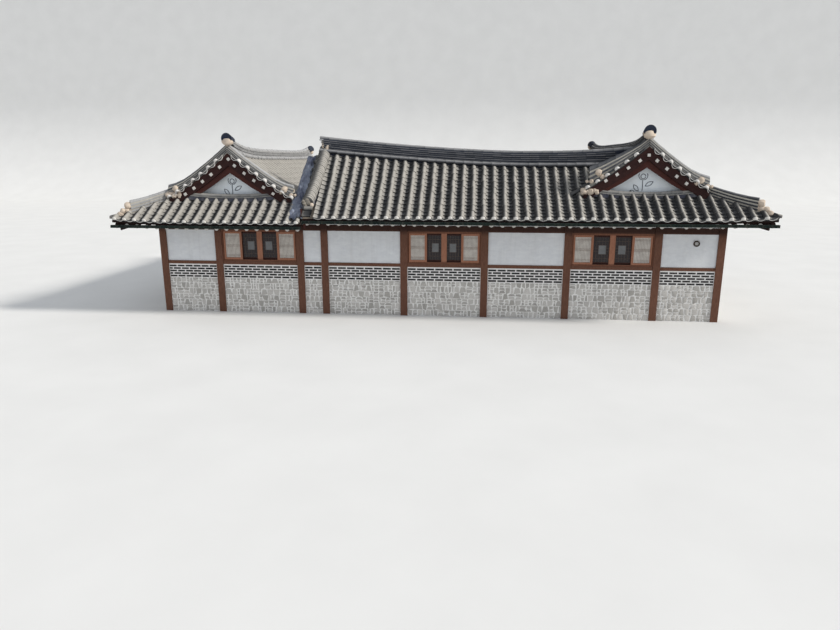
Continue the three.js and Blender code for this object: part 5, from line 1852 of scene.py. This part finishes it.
class HOUSE_OT_flashing(bpy.types.Operator):
    """Makes the crumpled sheet that hangs from the main verge onto the left roof: its height
    falls from the verge's to the roof's with the fifth power of the way, and six waves crumple it"""
    bl_idname = "house.flashing"
    bl_label = "Make the flashing"

    def execute(self, context):
        columns, rows, length, thickness = 30, 90, 2.1, 0.003
        foot_x, slant, head_x = -4.12, 0.12, -3.6
        across = np.linspace(0, 1, columns)[:, None]
        y = np.linspace(FRONT + 0.04, FRONT + length, rows)[None]
        low_x = foot_x - slant * np.clip((y - FRONT) / length, 0, 1)
        x = low_x + (head_x - low_x) * across
        phase = random("sheet", 8, 0, 6.28)
        crumple = sum(np.sin(f * x + g * y + p) / k for f, g, p, k in (
            (23, 5, phase[0], 1), (-31, 13, phase[1], 1.2), (11, -29, phase[2], 1.3),
            (57, 31, phase[3], 2.5), (-17, 53, phase[4], 2.5), (41, -43, phase[5], 3)))
        low = hip_bed(low_x, y) + 0.08
        high = main_bed(np.array(MAIN_VERGE_X), y) - 0.02
        z = low + (high - low) * (1 - (1 - across) ** 5) + 0.026 * crumple
        top = np.stack(np.broadcast_arrays(x, y, z), -1).reshape(-1, 3)
        work = Work()
        work.add(np.concatenate([top, top - UP * thickness]), sheet_faces(columns, rows))
        work.make("Crumpled flashing", finishes("Zinc sheet"), "flashing_metal", sharp=50,
                  replaces=["valley_flashing"])
        return {"FINISHED"}


class HOUSE_OT_masonry(bpy.types.Operator):
    """Sets stones and bricks on the mortar faces of the walls"""
    bl_idname = "house.masonry"
    bl_label = "Lay the masonry"

    def execute(self, context):
        stones, bricks = Work(), Work()
        end_x, flank = OUTER_X + PROUD, (FRONT_Y + 0.1, REAR_Y - 0.1)
        flank_posts = (FRONT_Y, *COURT_POSTS)
        rear_posts = (INNER_X, MIDDLE_X, OUTER_X)
        court_posts = (-INNER_X, *MAIN_POSTS, INNER_X)
        runs = [("front", "front", (-end_x, end_x), FRONT_POSTS, STONE_TOP),
                ("right", "right", flank, flank_posts, SIDE_STONE_TOP),
                ("left", "left", flank, flank_posts, SIDE_STONE_TOP)]
        for side, name in SIDES:
            ends = sorted((side * INNER_X, side * end_x))
            posts = [side * x for x in rear_posts]
            runs.append(("rear", f"rear{side}", ends, posts, SIDE_STONE_TOP))
            court = name + " court"
            runs.append((court, court, (BACK_Y, REAR_Y), COURT_POSTS, BASE_TOP))
        runs.append(("court", "court", (-INNER_X, INNER_X), court_posts, BASE_TOP))
        for wall, name, ends, posts, top in runs:
            for start, end in stretches(*ends, posts):
                lay_stones(stones, WALLS[wall], start, end, 0.0, top, PROUD, name)
        for start, end in stretches(-end_x, end_x, FRONT_POSTS):
            lay_bricks(bricks, WALLS["front"], start, end, *BRICK_BAND, PROUD, "front")
        stones.make("Wall stones", finishes("Stone"), "masonry", sharp=30)
        bricks.make("Wall bricks", finishes("Brick"), "brick", sharp=30)
        return {"FINISHED"}


class HOUSE_OT_windows(bpy.types.Operator):
    """Adds paper, dark panes and lattices to the three front windows"""
    bl_idname = "house.windows"
    bl_label = "Glaze the windows"

    def execute(self, context):
        work = Work()
        for first in (1, 4, 6):
            window(work, FRONT_POSTS[first:first + 2])
        looks = finishes("Window post", "Window paper", "Dark pane", "Beam", "Window field",
                         "Dark lattice", "Fine lattice")
        work.make("Window lattices", looks, "lattice_wood", sharp=30)
        return {"FINISHED"}


class HOUSE_OT_doors(bpy.types.Operator):
    """Adds paper, lattices, stiles and boards to the doors round the court"""
    bl_idname = "house.doors"
    bl_label = "Panel the doors"

    def execute(self, context):
        work = Work()
        for name in ("right court", "left court"):
            for bay in zip(COURT_POSTS[:-1], COURT_POSTS[1:]):
                door_bay(work, name, bay)
        door_bay(work, "court", MAIN_POSTS[:2])
        door_bay(work, "court", (MAIN_POSTS[2], INNER_X))
        start = MAIN_POSTS[1] + POST / 2
        u, s = (start + 0.07, start + 1.07), (SILL_TOP + 0.5, LINTEL - 0.08)
        pane(work, WALLS["court"], u, s, 0.028, 1)
        lattice(work, WALLS["court"], u, s, 0.028, 15, DOOR_RAILS)
        work.lay(WALLS["court"], bevelled(0.04), (u[0] + u[1]) / 2, SILL_TOP + 0.08, 0.037,
                 size=(0.86, 0.34, 0.007))
        work.make("Door lattices", finishes("Lattice wood", "Paper"), "lattice_wood", sharp=30)
        return {"FINISHED"}


class HOUSE_OT_trim(bpy.types.Operator):
    """Adds the vent's slats, the gutter straps and the beam ends over the front posts"""
    bl_idname = "house.trim"
    bl_label = "Add the trim"

    def execute(self, context):
        slats, straps, ends = Work(), Work(), Work()
        x, middle, radius = 7.62, 2.3, 0.05
        for k in (-1, 0, 1):
            level = middle + k * 0.03
            half = np.sqrt(radius ** 2 - (level - middle) ** 2)
            bar(slats, WALLS["front"], (x - half, x + half), (level - 0.011, level + 0.011),
                (PROUD, PROUD + 0.02))
        slats.make("Vent slats", finishes("Vent slats"), "vent_metal")
        for low, high in (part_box("front_gutter"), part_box("left_wing_gutter")):
            face, under = Wall(0, low.y, -1), low.z - 0.004
            for x in spaced(low.x + 0.2, high.x - 0.2, 0.9):
                bar(straps, face, (x - 0.012, x + 0.012), (under, high.z), (0.0, 0.004))
                bar(straps, face, (x - 0.012, x + 0.012), (under, low.z), (-0.1, 0.0))
        straps.make("Gutter straps", finishes("Gutter paint"), "gutter_metal")
        for x in FRONT_POSTS[1:-1]:
            bar(ends, WALLS["front"], (x - 0.07, x + 0.07), (2.76, 2.93), (0.09, 0.26))
        ends.make("Beam ends", finishes("Beam"), "timber")
        return {"FINISHED"}


class HOUSE_OT_finishes(bpy.types.Operator):
    """Gives each solid that stays its finish"""
    bl_idname = "house.finishes"
    bl_label = "Finish the solids"

    def execute(self, context):
        slots = {part["node"]: part["material_slot"] for part in frame["record"]["subparts"]}
        for name, node in frame["nodes"].items():
            look = "Gable plaster in painted light" if "gable_wall" in name else SLOT_FINISH[slots[name]]
            node.data.materials.clear()
            node.data.materials.append(finish(look))
        return {"FINISHED"}


class HOUSE_OT_stage(bpy.types.Operator):
    """Makes the pale floor and backdrop, the sun and the surroundings. The floor turns up behind
    the house in a quarter circle"""
    bl_idname = "house.stage"
    bl_label = "Set the stage"

    def execute(self, context):
        scene, lights = context.scene, context.scene.house_light
        size, rise, back, radius, under = 160.0, 60.0, 45.0, 12.0, 0.002
        turn = np.linspace(0, np.pi / 2, 24)
        y = np.concatenate([[-size], back + radius * np.sin(turn), [back + radius]])
        z = np.concatenate([[0], radius * (1 - np.cos(turn)), [rise]]) - under
        x = np.array([-size, size])
        points = np.stack(np.broadcast_arrays(x[None], y[:, None], z[:, None]), -1)
        index = np.arange(points.size // 3).reshape(-1, 2)
        quads = np.stack([index[:-1, 0], index[:-1, 1], index[1:, 1], index[1:, 0]], -1)
        mesh = bpy.data.meshes.new("Studio floor")
        mesh.from_pydata(points.reshape(-1, 3), [], quads)
        mesh.polygons.foreach_set("use_smooth", np.ones(len(quads), bool))
        mesh.materials.append(finish("Studio floor"))
        floor = bpy.data.objects.new("Studio floor", mesh)
        sun = bpy.data.lights.new("Sun", "SUN")
        sun.energy, sun.angle, sun.color = lights.sun, lights.sun_softness, (1.0, 0.96, 0.9)
        lamp = bpy.data.objects.new("Sun", sun)
        lamp.rotation_euler = Vector((-0.84, 0.12, -0.53)).to_track_quat("-Z", "Y").to_euler()
        for each in (floor, lamp):
            scene.collection.objects.link(each)
        scene.world = bpy.data.worlds.new("World")
        scene.world.use_nodes = True
        background = scene.world.node_tree.nodes["Background"]
        background.inputs["Color"].default_value = (0.86, 0.9, 0.96, 1)
        background.inputs["Strength"].default_value = lights.sky
        scene.view_settings.view_transform = "Standard"
        return {"FINISHED"}


class HOUSE_PT_panel(bpy.types.Panel):
    """The steps in order, and their settings"""
    bl_idname = "HOUSE_PT_panel"
    bl_label = "House"
    bl_space_type = "VIEW_3D"
    bl_region_type = "UI"
    bl_category = "House"

    def draw(self, context):
        for step in STEPS:
            self.layout.operator(step.bl_idname)
        for group in (context.scene.house_roof, context.scene.house_light):
            for key in group.__annotations__:
                self.layout.prop(group, key)


STEPS = (
    HOUSE_OT_camera, HOUSE_OT_finishes, HOUSE_OT_roof_tiles, HOUSE_OT_eaves, HOUSE_OT_ridges,
    HOUSE_OT_main_verge, HOUSE_OT_gables, HOUSE_OT_flashing, HOUSE_OT_masonry, HOUSE_OT_windows,
    HOUSE_OT_doors, HOUSE_OT_trim, HOUSE_OT_stage,
)
CLASSES = (RoofSettings, LightSettings, *STEPS, HOUSE_PT_panel)


def register():
    for each in CLASSES:
        bpy.utils.register_class(each)
    bpy.types.Scene.house_roof = bpy.props.PointerProperty(type=RoofSettings)
    bpy.types.Scene.house_light = bpy.props.PointerProperty(type=LightSettings)


def unregister():
    del bpy.types.Scene.house_light
    del bpy.types.Scene.house_roof
    for each in reversed(CLASSES):
        bpy.utils.unregister_class(each)


def main():
    register()
    for step in STEPS:
        group, name = step.bl_idname.split(".")
        getattr(getattr(bpy.ops, group), name)()
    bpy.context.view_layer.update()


if __name__ == "__main__":
    main()
